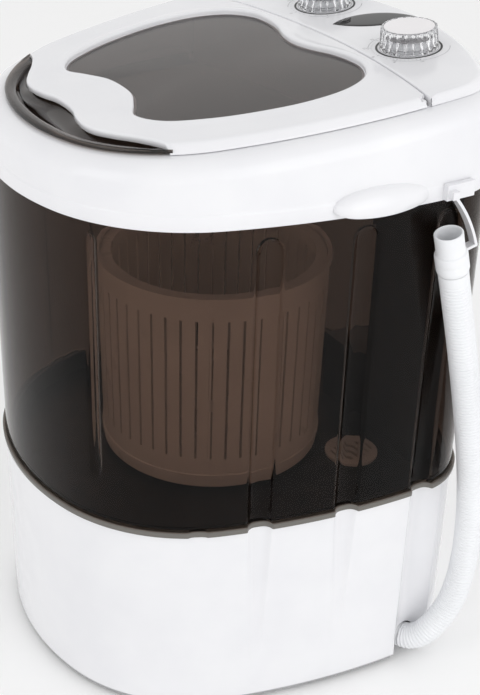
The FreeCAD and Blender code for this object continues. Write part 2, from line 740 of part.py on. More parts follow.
# where the lid's rear corner passes over the rim, it is a round knuckle below the axis and a
# short heel above it, slotted for the lug
corner_start = Vector(hinge_x + EAR_L, hinge_y, -10)
corner_cut = Part.makeBox(30, 10, 30, corner_start)
knuckle = Part.makeCylinder(KNUCKLE_R, 30, Vector(corner_start.x, hinge_y, hinge_up), X_AXIS)
heel = Part.makeBox(30, HEEL, 30, Vector(corner_start.x, hinge_y, hinge_up))
corner_cut = corner_cut.cut(knuckle.fuse(heel))
lug_x = hinge_x + PIN_L - LUG_W
lug_slot = Part.makeBox(LUG_W + 2 * LUG_ROOM, 10, 30,
                        Vector(lug_x - LUG_ROOM, hinge_y - LUG_R - LUG_ROOM, -10))
pin_hole = Part.makeCylinder(pin_r + size("fit"), PIN_L + 0.4,
                             Vector(hinge_x - 0.2, hinge_y, hinge_up), X_AXIS)
frame = frame.fuse([ear, mirrored(ear)])
hinge_cuts = [corner_cut, lug_slot, pin_hole]
frame = frame.cut(hinge_cuts + [mirrored(tool) for tool in hinge_cuts])
publish(solid("frame", frame.removeSplitter()), "lid_frame", DECK)

pane = window(lid_top - lid_skin - 2.4, lid_top - lid_skin, 1.035)
publish(solid("pane", pane), "lid_window", DECK)

scoop = slab(lid_inset + 0.6, lid_gap, lid_top - 2.5).common(scoop_zone(-20, 40, -0.3))
scoop_dip = slab(lid_inset + 3.0, lid_gap + 1.2, 40).common(scoop_zone(-20, 45, -3.0))
publish(solid("scoop", scoop.cut(scoop_dip)), "lid_finger_scoop", DECK)

# hinge: a pin through each lug, the lugs standing on the ring's rim
pin = Part.makeCylinder(pin_r, PIN_L, Vector(hinge_x, hinge_y, hinge_up), X_AXIS)
lug_head = Part.makeCylinder(LUG_R, LUG_W, Vector(lug_x, hinge_y, hinge_up), X_AXIS)
lug_foot = Part.makeBox(LUG_W, 2 * LUG_R, hinge_up, Vector(lug_x, hinge_y - LUG_R, 0))
lug_hole = Part.makeCylinder(pin_r, LUG_W, Vector(lug_x, hinge_y, hinge_up), X_AXIS)
lug = lug_head.fuse(lug_foot).cut(lug_hole)
pins = [pin, mirrored(pin)]
lugs = [lug, mirrored(lug)]
publish(solid("pins", Part.makeCompound(pins)), "lid_hinge_pins", DECK)
publish(solid("lugs", Part.makeCompound(lugs)), "lid_hinge_lugs", DECK)
bumpers = [disc(3, 0, lid_gap - 0.1, side * 138, -60) for side in SIDES]
publish(solid("bumpers", Part.makeCompound(bumpers)), "lid_bumpers", DECK)

# ================================================================ spin basket and pulsator
basket_z = size("basket_z")
basket_top = size("basket_top")
basket_floor = size("basket_floor")
shell_cone = cone("basket_shell", "P.basket_foot_r", "P.basket_r", "P.basket_top - P.basket_z",
                  0, 0, "P.basket_z")
room_cone = cone("basket_room", "P.basket_foot_r - P.basket_wall", "P.basket_r - P.basket_wall",
                 "P.basket_top - P.basket_z", 0, 0, "P.basket_z")
rim_bead = tube("rim_bead", "P.basket_r + 1.5", "P.basket_r - P.basket_wall", 5, 0, 0,
                "P.basket_top - 5")
foot_bead = tube("foot_bead", "P.basket_foot_r + 1.2", "P.basket_foot_r - P.basket_wall", 4, 0,
                 0, "P.basket_z + 8")
basket_plate = cylinder("basket_plate", "P.basket_foot_r - 1", 3, 0, 0, "P.basket_floor")
hub = cylinder("basket_hub", 20, 16, 0, 0, "P.basket_floor")
hub_room = cylinder("hub_room", 14.3, 12, 0, 0, "P.basket_floor - 1")
basket_body = fuse("basket_body", cut("basket_wall_cut", shell_cone, room_cone), rim_bead,
                   foot_bead, basket_plate, hub)
slot_count = int(size("slot_count"))
slot_boxes = []
for i in range(slot_count // 2):
    bar = Part.makeBox(240, size("slot_w"), 131, Vector(-120, -size("slot_w") / 2, basket_floor + 5))
    bar = bar.cut(disc(90, 200, 350))
    bar.rotate(Vector(0, 0, 0), Z_AXIS, 360.0 * i / slot_count)
    slot_boxes.append(bar)
slot_group = solid("basket_slots", Part.makeCompound(slot_boxes))
floor_holes = []
for ring_r, count in ((38, 10), (56, 16), (74, 22)):
    for i in range(count):
        angle = 2 * math.pi * i / count
        floor_holes.append(disc(3, 195, 208, ring_r * math.cos(angle), ring_r * math.sin(angle)))
hole_group = solid("basket_holes", Part.makeCompound(floor_holes))
publish(cut("basket", basket_body, slot_group, hub_room, hole_group), "spin_basket", SPIN)
publish(tube("balance", "P.basket_r - P.basket_wall - 0.6", "P.basket_r - 12", 10, 0, 0,
             "P.basket_top - 12"), "balance_ring", SPIN)

dish = cone("pulsator_dish", "P.pulsator_r", "P.pulsator_r - 30", 12, 0, 0, "P.floor_z + 4")
boss = cylinder("pulsator_boss", 14, 34, 0, 0, "P.floor_z + 4")
vanes = []
VANES = 4
for i in range(VANES):
    vane = Part.makeBox(56, 7, 14, Vector(16, -3.5, floor_z + 10))
    vane.rotate(Vector(0, 0, 0), Z_AXIS, 360.0 * i / VANES)
    vanes.append(vane.common(disc(74, 0, REACH)))
vane_group = solid("pulsator_vanes", Part.makeCompound(vanes))
pulsator_body = fuse("pulsator_body", dish, boss, vane_group)
shaft_bore = cylinder("pulsator_bore", "P.shaft_r", 34, 0, 0, "P.floor_z")
publish(cut("pulsator_cut", pulsator_body, shaft_bore), "pulsator", SPIN)

# ================================================================ drive
shaft = cylinder("shaft", "P.shaft_r", "P.floor_z + 34 - 30", 0, 0, 30)
publish(group("shaft_set", shaft), "drive_shaft", SPIN)
housing_tube = cylinder("housing_tube", 22, 90, 0, 0, "P.floor_z - 6 - 98")
housing_flange = cylinder("housing_flange", 48, 8, 0, 0, "P.floor_z - 6 - 8")
housing_bore = cylinder("housing_bore", 16, 120, 0, 0, "P.floor_z - 6 - 110")
step = tube("housing_step", 16.5, 10, 60, 0, 0, "P.floor_z - 6 - 83")
housing_holes = [
    cylinder("housing_hole%d" % i, 2.2, 10, sx * 30, sy * 25, "P.floor_z - 15")
    for i, (sx, sy) in enumerate([(a, b) for a in SIDES for b in SIDES])
]
housing = cut("housing_cut", fuse("housing_body", housing_tube, housing_flange), housing_bore,
              *housing_holes)
publish(fuse("housing_with_step", housing, step), "bearing_housing", SPIN)
lower_race = tube("lower_race", 16, "P.shaft_r + P.fit", 10, 0, 0, "P.floor_z - 100")
upper_race = tube("upper_race", 16, "P.shaft_r + P.fit", 10, 0, 0, "P.floor_z - 28")
publish(group("races", lower_race, upper_race), "shaft_bearings", SPIN)
publish(tube("seal", 15.9, "P.shaft_r + P.fit", 12, 0, 0, "P.floor_z - 17"), "shaft_seal", SPIN)


def grooved_pulley(name, radius, bore, x, y):
    """Two cones meeting in a groove for the belt, on a straight hub."""
    half = "P.pulley_h / 2"
    low_rim = cone(name + "_low", radius, radius + " - 5", half, x, y, "P.pulley_z")
    high_rim = cone(name + "_high", radius + " - 5", radius, half, x, y,
                    "P.pulley_z + P.pulley_h / 2")
    hole = cylinder(name + "_hole", bore, 40, x, y, "P.pulley_z - 5")
    return cut(name + "_cut", fuse(name + "_rims", low_rim, high_rim), hole)


publish(grooved_pulley("big_pulley", "P.big_r", "P.shaft_r", 0, 0), "drive_pulley", SPIN)
motor_shaft_r = 5
publish(grooved_pulley("small_pulley", "P.small_r", motor_shaft_r, "P.motor_x", "P.motor_y"),
        "motor_pulley", SPIN)
rotor_rod = cylinder("rotor_rod", motor_shaft_r, 115, "P.motor_x", "P.motor_y", 34)
publish(group("rotor_set", rotor_rod), "motor_shaft", SPIN)

motor_x = size("motor_x")
motor_y = size("motor_y")
can = cylinder("motor_can", "P.motor_r", "P.motor_h", "P.motor_x", "P.motor_y", "P.motor_z")
can_bore = cylinder("motor_bore", "5 + P.fit", 90, "P.motor_x", "P.motor_y", "P.motor_z - 10")
publish(cut("motor_cut", can, can_bore), "motor", SPIN)
fan_hub = cylinder("fan_hub", 10, 12, "P.motor_x", "P.motor_y", "P.motor_z + P.motor_h + 3")
fan_disc = cylinder("fan_disc", 36, 2, "P.motor_x", "P.motor_y", "P.motor_z + P.motor_h + 3")
FAN_BLADES = 8
blades = []
fan_z = size("motor_z") + size("motor_h") + 3
for i in range(FAN_BLADES):
    blade = Part.makeBox(25, 1.6, 11, Vector(9, -0.8, fan_z + 1))
    blade.rotate(Vector(0, 0, 0), Z_AXIS, 360.0 * i / FAN_BLADES)
    blade.translate(Vector(motor_x, motor_y, 0))
    blades.append(blade)
blade_group = solid("fan_blades", Part.makeCompound(blades))
fan_bore = cylinder("fan_bore", motor_shaft_r, 40, "P.motor_x", "P.motor_y", fan_z - 5)
publish(cut("fan_cut", fuse("fan_body", fan_hub, fan_disc, blade_group), fan_bore), "motor_fan", SPIN)

# bracket: a plate under the motor on four posts that stand on the base plate
post_xy = [(-150, 0), (-150, 70), (-92, -25), (-92, 95)]
shelf = box("bracket_shelf", 76, 132, 3, "P.motor_x - 12", "P.motor_y", "P.motor_z - 3")
shelf_hole = cylinder("bracket_hole", 12, 10, "P.motor_x", "P.motor_y", "P.motor_z - 6")
posts = [
    cylinder("bracket_post%d" % i, 5, "P.motor_z - 3 - P.base_z", x, y, "P.base_z")
    for i, (x, y) in enumerate(post_xy)
]
publish(cut("bracket_cut", fuse("bracket_body", shelf, *posts), shelf_hole), "motor_bracket", SPIN)

belt_z = size("pulley_z") + size("pulley_h") / 2
BELT_HALF = 2.0


def belt_band(extra, low, high):
    """The space inside a belt round both pulleys."""
    big_r = size("big_r") - 3.0 + extra
    small_r = size("small_r") - 3.0 + extra
    span = math.hypot(motor_x, motor_y)
    lead = math.acos((big_r - small_r) / span)
    way = math.atan2(motor_y, motor_x)
    corners = []
    for centre, radius, sign in ((Vector(0, 0, low), big_r, 1),
                                 (Vector(motor_x, motor_y, low), small_r, 1),
                                 (Vector(motor_x, motor_y, low), small_r, -1),
                                 (Vector(0, 0, low), big_r, -1)):
        angle = way + sign * lead
        corners.append(centre + Vector(math.cos(angle), math.sin(angle), 0) * radius)
    middle = Part.Face(Part.makePolygon(corners + corners[:1]))
    body = middle.extrude(Vector(0, 0, high - low))
    return body.fuse([disc(big_r, low, high), disc(small_r, low, high, motor_x, motor_y)])


belt = belt_band(4.5, belt_z - BELT_HALF, belt_z + BELT_HALF)
belt = belt.cut(belt_band(0.3, belt_z - BELT_HALF, belt_z + BELT_HALF))
publish(solid("belt", belt.removeSplitter()), "drive_belt", SPIN)

capacitor = cylinder("capacitor_can", 17, 62, 100, -70, "P.base_z + 3")
publish(capacitor, "motor_capacitor")
clip_ring = tube("clip_ring", 19, 17.05, 12, 100, -70, "P.base_z + 20")
clip_leg = box("clip_leg", 12, 3, 32, 100, -90.4, "P.base_z")
publish(fuse("clip_body", clip_ring, clip_leg), "capacitor_clip")
block = box("block", 46, 18, 16, -30, 140, "P.base_z")
block_holes = [
    cylinder("block_hole%d" % i, 2, 9, -48 + i * 12, 140, "P.base_z + 9") for i in range(4)
]
publish(cut("block_cut", block, *block_holes), "terminal_block")
floor_screws = []
for i, (sx, sy) in enumerate([(a, b) for a in SIDES for b in SIDES]):
    head = cylinder("flange_head%d" % i, 4, 3, sx * 30, sy * 25, "P.floor_z - 17")
    rod = cylinder("flange_rod%d" % i, 2.15, 8, sx * 30, sy * 25, "P.floor_z - 14")
    floor_screws.append(fuse("flange_screw%d" % i, head, rod))
publish(group("flange_screws", *floor_screws), "bearing_screws", SPIN)

# ================================================================ drain
elbow_end = HOSE[0]
ELBOW = [
    Vector(drain_x, drain_y, floor_z - FLOOR_T),
    Vector(drain_x, drain_y, 95),
    Vector(104, 78, 45),
    elbow_end - exit_way * 38,
    elbow_end,
]
elbow_path, elbow_radii = route_wire(ELBOW)
elbow = pipe(elbow_path, ELBOW, 11.0).cut(pipe(elbow_path, ELBOW, 8.8))
sump_flange = disc(22, floor_z - FLOOR_T - 4, floor_z - FLOOR_T, drain_x, drain_y)
sump_flange = sump_flange.cut(disc(8.8, 0, REACH, drain_x, drain_y))
publish(solid("elbow", elbow.fuse(sump_flange).removeSplitter()), "drain_elbow")

hose_path, hose_radii = route_wire(HOSE)
hose_skin = pipe(hose_path, HOSE, hose_r)
hose_void = pipe(hose_path, HOSE, size("hose_bore"))
hose = hose_skin.cut(hose_void)
section = math.pi * (hose_r ** 2 - size("hose_bore") ** 2)
print("hose length mm", round(hose_path.Length, 1))
print("hose arc radii mm", [round(r, 1) for r in hose_radii])
print("hose volume / (section x length)", round(hose.Volume / (section * hose_path.Length), 4))
publish(solid("hose", hose), "drain_hose")

cuff_way = HOSE[-1] - HOSE[-2]
cuff_way.normalize()
cuff_l = size("cuff_l")
CUFF_BAND = 17.0
cuff_bore = size("cuff_bore")
cuff_neck = Part.makeCone(hose_r, size("cuff_r"), 3, HOSE[-1], cuff_way)
cuff_band = Part.makeCylinder(size("cuff_r"), CUFF_BAND - 3, HOSE[-1] + cuff_way * 3, cuff_way)
cuff_sleeve = Part.makeCylinder(size("cuff_top_r"), cuff_l, HOSE[-1], cuff_way)
cuff = cuff_sleeve.fuse([cuff_neck, cuff_band])
cuff = cuff.cut(Part.makeCylinder(cuff_bore, cuff_l + 2, HOSE[-1] - cuff_way, cuff_way))
publish(solid("cuff", cuff.removeSplitter()), "hose_cuff")

# hook: a plate on the ring's band, an arm and a strap whose foot bears on the cuff
HOOK_X = 187.0
HOOK_W = 7.0
plate_block = Part.makeBox(20, 25, 12, Vector(178, 78, ring_z + 1))
plate_block = plate_block.common(disc(REACH, 0, REACH, HOOK_X + 2.2 - REACH, 88))
plate_block = plate_block.cut(slab(-0.75, 0, REACH))
STRAP_T = 2.2
strap_line = [Vector(HOOK_X, 82, ring_z + 5), Vector(HOOK_X, 97.8, ring_z - 17.3),
              Vector(HOOK_X, 106.9, ring_z - 38)]
strap_arc = Part.Arc(*strap_line).toShape()
foot_line = Part.LineSegment(strap_line[-1], Vector(HOOK_X, 92.9, ring_z - 41)).toShape()


def ribbon(edge):
    """A flat strap of the hook's width along an edge that lies in its plane."""
    start = edge.valueAt(edge.FirstParameter)
    heading = edge.tangentAt(edge.FirstParameter)
    across = X_AXIS.cross(heading).normalize() * (STRAP_T / 2)
    side = X_AXIS * HOOK_W
    corners = [start - across, start - across + side, start + across + side, start + across]
    profile = Part.makePolygon(corners + corners[:1])
    return Part.Wire(edge).makePipeShell([profile], True, False)


knee = Part.makeCylinder(STRAP_T / 2, HOOK_W, strap_line[-1], X_AXIS)
hook = plate_block.fuse([ribbon(strap_arc), knee, ribbon(foot_line)])
arm = Part.makeBox(HOOK_W, 6, 6, Vector(HOOK_X, 79.5, ring_z + 3))
hook = hook.fuse(arm).removeSplitter()
publish(solid("hook", hook), "hose_hook")

# ================================================================ checks and files
doc.recompute()
os.makedirs("parts", exist_ok=True)
problems = []
for name, obj in published.items():
    shape = obj.Shape
    if any(word in obj.State for word in ("Invalid", "Error")):
        problems.append(name + ": state " + str(obj.State))
    elif shape.isNull() or not shape.isValid() or not shape.Solids:
        problems.append(name + ": shape is empty or not valid")
if problems:
    raise RuntimeError("; ".join(problems))
whole = Part.makeCompound([obj.Shape for obj in published.values()])
print("pieces", len(published), "box", whole.BoundBox)
for name, obj in published.items():
    obj.Shape.exportStep(os.path.join("parts", name + ".step"))
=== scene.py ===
import json
import math

import bmesh
import bpy
import numpy as np
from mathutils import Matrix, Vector


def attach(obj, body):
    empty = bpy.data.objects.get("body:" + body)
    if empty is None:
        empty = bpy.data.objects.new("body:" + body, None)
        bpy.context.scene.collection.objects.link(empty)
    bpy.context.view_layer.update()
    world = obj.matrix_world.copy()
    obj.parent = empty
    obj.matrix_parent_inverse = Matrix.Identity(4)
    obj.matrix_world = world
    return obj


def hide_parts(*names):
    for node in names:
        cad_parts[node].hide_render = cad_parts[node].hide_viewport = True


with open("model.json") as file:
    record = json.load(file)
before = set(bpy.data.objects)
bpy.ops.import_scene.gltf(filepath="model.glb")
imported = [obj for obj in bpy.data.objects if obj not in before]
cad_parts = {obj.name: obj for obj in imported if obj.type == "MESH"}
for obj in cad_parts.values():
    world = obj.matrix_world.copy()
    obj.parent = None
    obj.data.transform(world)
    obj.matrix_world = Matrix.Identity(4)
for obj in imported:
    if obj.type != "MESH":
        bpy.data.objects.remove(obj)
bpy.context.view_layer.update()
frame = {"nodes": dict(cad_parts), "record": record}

NODES = frame["nodes"]
MM = 0.001
PI = math.pi

# ------------------------------------------------------------------ view
scene = bpy.context.scene
cam = bpy.data.objects.new("camera", bpy.data.cameras.new("camera"))
scene.collection.objects.link(cam)
scene.camera = cam
AZIMUTH, ELEVATION = 61.6, 29.8
SENSOR, FRAME_W, FRAME_H = 36.0, 480, 695
FOCAL, CENTRE = 1320.05, (168.03, 349.5)  # in the frame's own units, like its width and height
cam.location = (0.86848, -0.51867, 0.83058)
cam.rotation_euler = (math.radians(90 - ELEVATION), 0, math.radians(AZIMUTH))
cam.data.sensor_width = SENSOR
cam.data.lens = FOCAL * SENSOR / FRAME_H
cam.data.shift_x = (FRAME_W / 2 - CENTRE[0]) / FRAME_H
cam.data.shift_y = (CENTRE[1] - FRAME_H / 2) / FRAME_H
cam.data.clip_end = 50
scene.view_settings.view_transform = "Standard"
scene.view_settings.look = "None"


# ------------------------------------------------------------------ mesh helpers
def add(name, verts, faces, smooth=True, sharp=None):
    mesh = bpy.data.meshes.new(name)
    mesh.from_pydata([tuple(v) for v in verts], [], faces)
    mesh.validate()
    bm = bmesh.new()
    bm.from_mesh(mesh)
    bmesh.ops.remove_doubles(bm, verts=bm.verts, dist=1e-6)
    bmesh.ops.recalc_face_normals(bm, faces=bm.faces)
    bm.to_mesh(mesh)
    bm.free()
    mesh.polygons.foreach_set("use_smooth", [smooth] * len(mesh.polygons))
    if sharp:
        mesh.set_sharp_from_angle(angle=math.radians(sharp))
    obj = bpy.data.objects.new(name, mesh)
    scene.collection.objects.link(obj)
    return obj


def grid_faces(rows, cols, wrap_cols=True, wrap_rows=False, start=0):
    """Quads over rows x cols points numbered row by row."""
    faces = []
    for i in range(rows if wrap_rows else rows - 1):
        a, b = i * cols, ((i + 1) % rows) * cols
        for j in range(cols if wrap_cols else cols - 1):
            k = (j + 1) % cols
            faces.append((start + a + j, start + a + k, start + b + k, start + b + j))
    return faces


def loft(name, rows, wrap_rows=False, wrap_cols=True, **more):
    """A skin over rows of points, each an (n, 3) array in millimetres."""
    rows = [np.asarray(r, float) for r in rows]
    verts = np.concatenate(rows) * MM
    faces = grid_faces(len(rows), len(rows[0]), wrap_cols, wrap_rows)
    return add(name, verts, faces, **more)


def lathe(name, profile, steps=96, axis=(0, 0), wobble=None, **more):
    """Turn (radius, height) pairs round a vertical axis; wobble changes a radius by angle."""
    angles = np.linspace(0, 2 * PI, steps, endpoint=False)
    rows = []
    for radius, height in profile:
        r = np.full(steps, float(radius))
        if wobble:
            r = wobble(r, height, angles)
        rows.append(np.stack([axis[0] + r * np.cos(angles), axis[1] + r * np.sin(angles),
                              np.full(steps, float(height))], 1))
    closed = profile[0] == profile[-1]
    return loft(name, rows[:-1] if closed else rows, wrap_rows=closed, **more)


def smoothstep(x):
    x = np.clip(x, 0, 1)
    return x * x * (3 - 2 * x)


def round_over(centre, radius, start, end, steps=6):
    """Points of an arc in a profile, angles in degrees."""
    return [(centre[0] + radius * math.cos(math.radians(start + (end - start) * i / steps)),
             centre[1] + radius * math.sin(math.radians(start + (end - start) * i / steps)))
            for i in range(steps + 1)]


def fill_holes(obj):
    """Close a mesh's open rims with flat faces."""
    bm = bmesh.new()
    bm.from_mesh(obj.data)
    bmesh.ops.holes_fill(bm, edges=[e for e in bm.edges if e.is_boundary], sides=0)
    bmesh.ops.recalc_face_normals(bm, faces=bm.faces)
    bm.to_mesh(obj.data)
    bm.free()


# ------------------------------------------------------------------ plan outline
NOSE_R, SHOULDER_R, FLANK_R, CORNER_R, BACK_R = 210, 140, 590, 60, 300
NOSE_TURN, SHOULDER_TURN = 18, 72


def towards(degrees):
    a = np.radians(degrees)
    return np.array([np.sin(a), -np.cos(a)])


nose_c = np.array([0.0, NOSE_R])
shoulder_c = nose_c + towards(NOSE_TURN) * (NOSE_R - SHOULDER_R)
flank_c = shoulder_c + towards(SHOULDER_TURN) * (SHOULDER_R - FLANK_R)
corner_c = np.array([flank_c[0] + FLANK_R - CORNER_R, flank_c[1]])
back_drop = math.sqrt((BACK_R - CORNER_R) ** 2 - corner_c[0] ** 2)
back_c = np.array([0.0, corner_c[1] - back_drop])
BACK_TURN = 180 - math.degrees(math.atan2(corner_c[0], back_drop))
DEPTH = back_c[1] + BACK_R
shift = np.array([0, -DEPTH / 2])
flip = np.array([-1, 1])
ARCS = [(nose_c + shift, NOSE_R, 0, NOSE_TURN),
        (shoulder_c + shift, SHOULDER_R, NOSE_TURN, SHOULDER_TURN),
        (flank_c + shift, FLANK_R, SHOULDER_TURN, 90),
        (corner_c + shift, CORNER_R, 90, BACK_TURN),
        (back_c + shift, BACK_R, BACK_TURN, 180)]
ARCS += [(c * flip, r, 360 - e, 360 - b) for c, r, b, e in reversed(ARCS)]


class Plan:
    """The outline sampled all the way round, from the middle of the front towards +X."""

    def __init__(self, count):
        lengths = np.array([r * math.radians(e - b) for _, r, b, e in ARCS])
        ends = np.concatenate([[0], np.cumsum(lengths)])
        at = np.linspace(0, ends[-1], count, endpoint=False)
        self.total = ends[-1]
        self.along = at
        self.centre = np.zeros((count, 2))
        self.radius = np.zeros(count)
        turn = np.zeros(count)
        for k, (c, r, b, e) in enumerate(ARCS):
            inside = (at >= ends[k]) & (at < ends[k + 1])
            self.centre[inside] = c
            self.radius[inside] = r
            turn[inside] = b + np.degrees((at[inside] - ends[k]) / r)
        self.out = np.stack([np.sin(np.radians(turn)), -np.cos(np.radians(turn))], 1)
        self.count = count

    def at(self, inset):
        """(n, 2) points moved inwards by an inset, one number or one per sample."""
        reach = self.radius - inset
        return self.centre + self.out * reach[:, None]

    def row(self, inset, z):
        p = self.at(np.broadcast_to(inset, self.count))
        return np.column_stack([p, np.broadcast_to(z, self.count)])

    def place(self, y, side=1):
        """Distance along the outline to the right (or left) side's point at a given y."""
        p = self.at(0)
        half = (p[:, 0] * side > 20) & (self.out[:, 0] * side > 0.25)
        return self.along[half][np.argmin(np.abs(p[half, 1] - y))]

    def gap(self, place):
        """Signed distance along the outline from a place."""
        d = self.along - place
        return (d + self.total / 2) % self.total - self.total / 2


DECK_Z, TILT = 507.0, math.radians(5.12)
RING_Z, TUB_Z, BASE_Z = 448.0, 184.0, 7.0


def deck(points):
    """From the sloping deck's own axes, in millimetres, to the row frame."""
    p = np.asarray(points, float)
    y = p[..., 1] * math.cos(TILT) - p[..., 2] * math.sin(TILT)
    z = p[..., 1] * math.sin(TILT) + p[..., 2] * math.cos(TILT) + DECK_Z
    return np.stack([p[..., 0], y, z], -1)


def deck_height(points):
    """Height of the deck plane over plan points."""
    return DECK_Z + np.asarray(points)[..., 1] * math.tan(TILT)


# ------------------------------------------------------------------ drain hose, first of all
HOSE = [(160.5, 89, 21), (176, 94, 19), (189, 102.5, 25.5), (195.5, 113.5, 41),
        (198.5, 127, 64), (198.5, 134.9, 101), (198.5, 134.4, 152), (198.5, 127.5, 208),
        (198.5, 114, 272), (198.5, 99, 336), (198.5, 83.2, 396)]
HOSE_R = 11.5


def nurbs_line(points, resolution=24):
    """Points of the smooth line that a route's control points make, in metres."""
    curve = bpy.data.curves.new("route", "CURVE")
    curve.dimensions = "3D"
    spline = curve.splines.new("NURBS")
    spline.points.add(len(points) - 1)
    for p, xyz in zip(spline.points, points):
        p.co = (xyz[0] * MM, xyz[1] * MM, xyz[2] * MM, 1)
    spline.order_u = 3
    spline.use_endpoint_u = True
    spline.resolution_u = resolution
    holder = bpy.data.objects.new("route", curve)
    mesh = bpy.data.meshes.new_from_object(holder)
    line = np.array([v.co for v in mesh.vertices])
    bpy.data.objects.remove(holder)
    bpy.data.meshes.remove(mesh)
    bpy.data.curves.remove(curve)
    return line


def resample(line, step):
    seg = np.linalg.norm(np.diff(line, axis=0), axis=1)
    s = np.concatenate([[0], np.cumsum(seg)])
    at = np.linspace(0, s[-1], max(2, int(round(s[-1] / step)) + 1))
    return np.stack([np.interp(at, s, line[:, k]) for k in range(3)], 1), at


def tube_rows(line, radii, sides=40):
    """Rings of points round a line; the ring's frame is carried along without twist."""
    tangent = np.gradient(line, axis=0)
    tangent /= np.linalg.norm(tangent, axis=1)[:, None]
    side = np.cross(tangent[0], [0, 0, 1.0])
    side /= np.linalg.norm(side)
    rows = []
    turn = np.linspace(0, 2 * PI, sides, endpoint=False)
    for p, d, r in zip(line, tangent, radii):
        side = side - d * side.dot(d)
        side /= np.linalg.norm(side)
        up = np.cross(d, side)
        rows.append(p + r * (np.cos(turn)[:, None] * side + np.sin(turn)[:, None] * up))
    return rows


hose_line = nurbs_line(HOSE)
PITCH, RIB_DEPTH, RIB_SHARP = 2.9, 0.95, 1.8
HOSE_BORE, HOSE_SIDES, STEPS_PER_RIB = 9.0, 40, 6
fine, fine_s = resample(hose_line, PITCH / STEPS_PER_RIB * MM)
phase = 2 * PI * fine_s / (PITCH * MM)
# the ribs fade out at both ends, where the hose sits in its spigot and its cuff
ribbed = smoothstep((fine_s - 0.002) / 0.010) * smoothstep((fine_s[-1] - fine_s - 0.006) / 0.008)
wave = 0.5 + 0.5 * np.tanh(RIB_SHARP * np.cos(phase)) / math.tanh(RIB_SHARP)
hose_radii = (HOSE_R - RIB_DEPTH * (1 - wave) * ribbed) * MM
rows = tube_rows(fine, hose_radii, HOSE_SIDES)
bore_line = fine[::2 * STEPS_PER_RIB]
inner = tube_rows(bore_line, np.full(len(bore_line), HOSE_BORE * MM), HOSE_SIDES)
hose = add("drain_hose_skin", np.concatenate(rows + inner[::-1]),
           grid_faces(len(rows) + len(inner), HOSE_SIDES, True, True))

cuff_way = np.array(HOSE[-1]) - np.array(HOSE[-2])
cuff_way = cuff_way / np.linalg.norm(cuff_way)
# (radius, height): a flared socket with a band, a step, then the open neck and its bore
CUFF_PROFILE = [(9.3, 0.0), (11.3, 0.0), (11.7, 0.4), (12.1, 1.8), (12.45, 3.2), (12.5, 4.0)]
CUFF_PROFILE += [(12.5, 8.2)]
CUFF_PROFILE += [(12.35, 8.6), (12.35, 9.2), (12.5, 9.6), (12.5, 15.6), (12.3, 16.5), (11.8, 17.0)]
CUFF_PROFILE += [(11.15, 17.2), (10.9, 17.9), (10.85, 24.0), (10.9, 31.0), (10.9, 33.0)]
CUFF_PROFILE += round_over((10.1, 33.2), 0.8, 0, 90, 4) + round_over((9.9, 33.4), 0.6, 90, 180, 3)
CUFF_PROFILE += [(9.25, 31.0), (9.2, 6.0), (9.2, 0.6), (9.3, 0.0)]


def along_axis(name, profile, base, way, sides=64):
    """Turn a closed (radius, height) profile round an axis that points any way."""
    base, way = np.array(base, float), np.array(way, float)
    side = np.cross(way, [1.0, 0, 0])
    side /= np.linalg.norm(side)
    up = np.cross(way, side)
    turn = np.linspace(0, 2 * PI, sides, endpoint=False)
    rows = [base + way * h + r * (np.cos(turn)[:, None] * side + np.sin(turn)[:, None] * up)
            for r, h in profile]
    return loft(name, rows[:-1], wrap_rows=True)


cuff = along_axis("hose_cuff_moulded", CUFF_PROFILE, HOSE[-1], cuff_way)
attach(hose, "housing")
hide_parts("drain_hose")
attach(cuff, "housing")
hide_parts("hose_cuff")

# ------------------------------------------------------------------ top ring
plan = Plan(900)
RIM_R = 16.0


def ring_profile():
    """(inset, height above the ring's lower edge or drop below the deck, which)."""
    low = [(-0.5, 0.0), (-0.7, 0.35), (-0.7, 10.6), (-0.62, 11.3), (-0.3, 11.8), (0.0, 12.4), (0.0, 14)]
    rows = [(i, h, "low") for i, h in low]
    for k in range(13):
        a = math.radians(90 * k / 12)
        rows.append((RIM_R * (1 - math.cos(a)), RIM_R * (1 - math.sin(a)), "top"))
    rows += [(i, d, "top") for i, d in [(20, 0), (23.2, 0), (23.75, 0.25), (24, 0.8), (24, 2.7)]]
    rows += [(i, d, "top") for i, d in [(23.7, 3.3), (23.0, 3.5), (16, 3.5)]]
    for k in range(7):
        a = math.radians(90 - 90 * k / 6)
        inner = RIM_R - 3
        rows.append((3 + inner * (1 - math.cos(a)), 3.5 + inner * (1 - math.sin(a)), "top"))
    rows += [(3, 1.0, "low"), (2.6, 0.0, "low")]
    return rows


ring_rows = []
for inset, h, which in ring_profile():
    p = plan.at(inset)
    z = RING_Z + h if which == "low" else deck_height(p) - h
    ring_rows.append(plan.row(inset, z))
ring = loft("top_ring_casing", ring_rows, wrap_rows=True, sharp=50)
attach(ring, "housing")
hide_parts("top_ring")

# ------------------------------------------------------------------ tub
FLUTE_TOP = RING_Z - 22


def flute(p, place, half, bite, low, high, z, cap=13.0, soft_low=None):
    """Depth of one upright groove over the samples at height z, with a round upper end."""
    s = np.abs(p.gap(place))
    width = half
    if z > high:
        rise = (z - high) / cap
        if rise >= 1:
            return np.zeros(p.count)
        width = half * math.sqrt(max(0.0, 1 - rise * rise))
        bite = bite * math.sqrt(max(0.0, 1 - rise ** 3))
    x = s / max(width, 1e-3)
    shape = np.where(x < 1, np.clip(1 - x ** 3.2, 0, 1) ** 0.8, 0)
    fade = 1.0 if soft_low is None else float(smoothstep((z - low) / soft_low))
    return bite * shape * fade if z >= low else np.zeros(p.count)


tub_plan = Plan(1400)
MAIN = [(tub_plan.place(y, side), 10.5, 6.0) for side in (1, -1) for y in (-55, 18, 90)]
FRONT = [(tub_plan.place(-103, side), 7.5, 1.6) for side in (1, -1)]


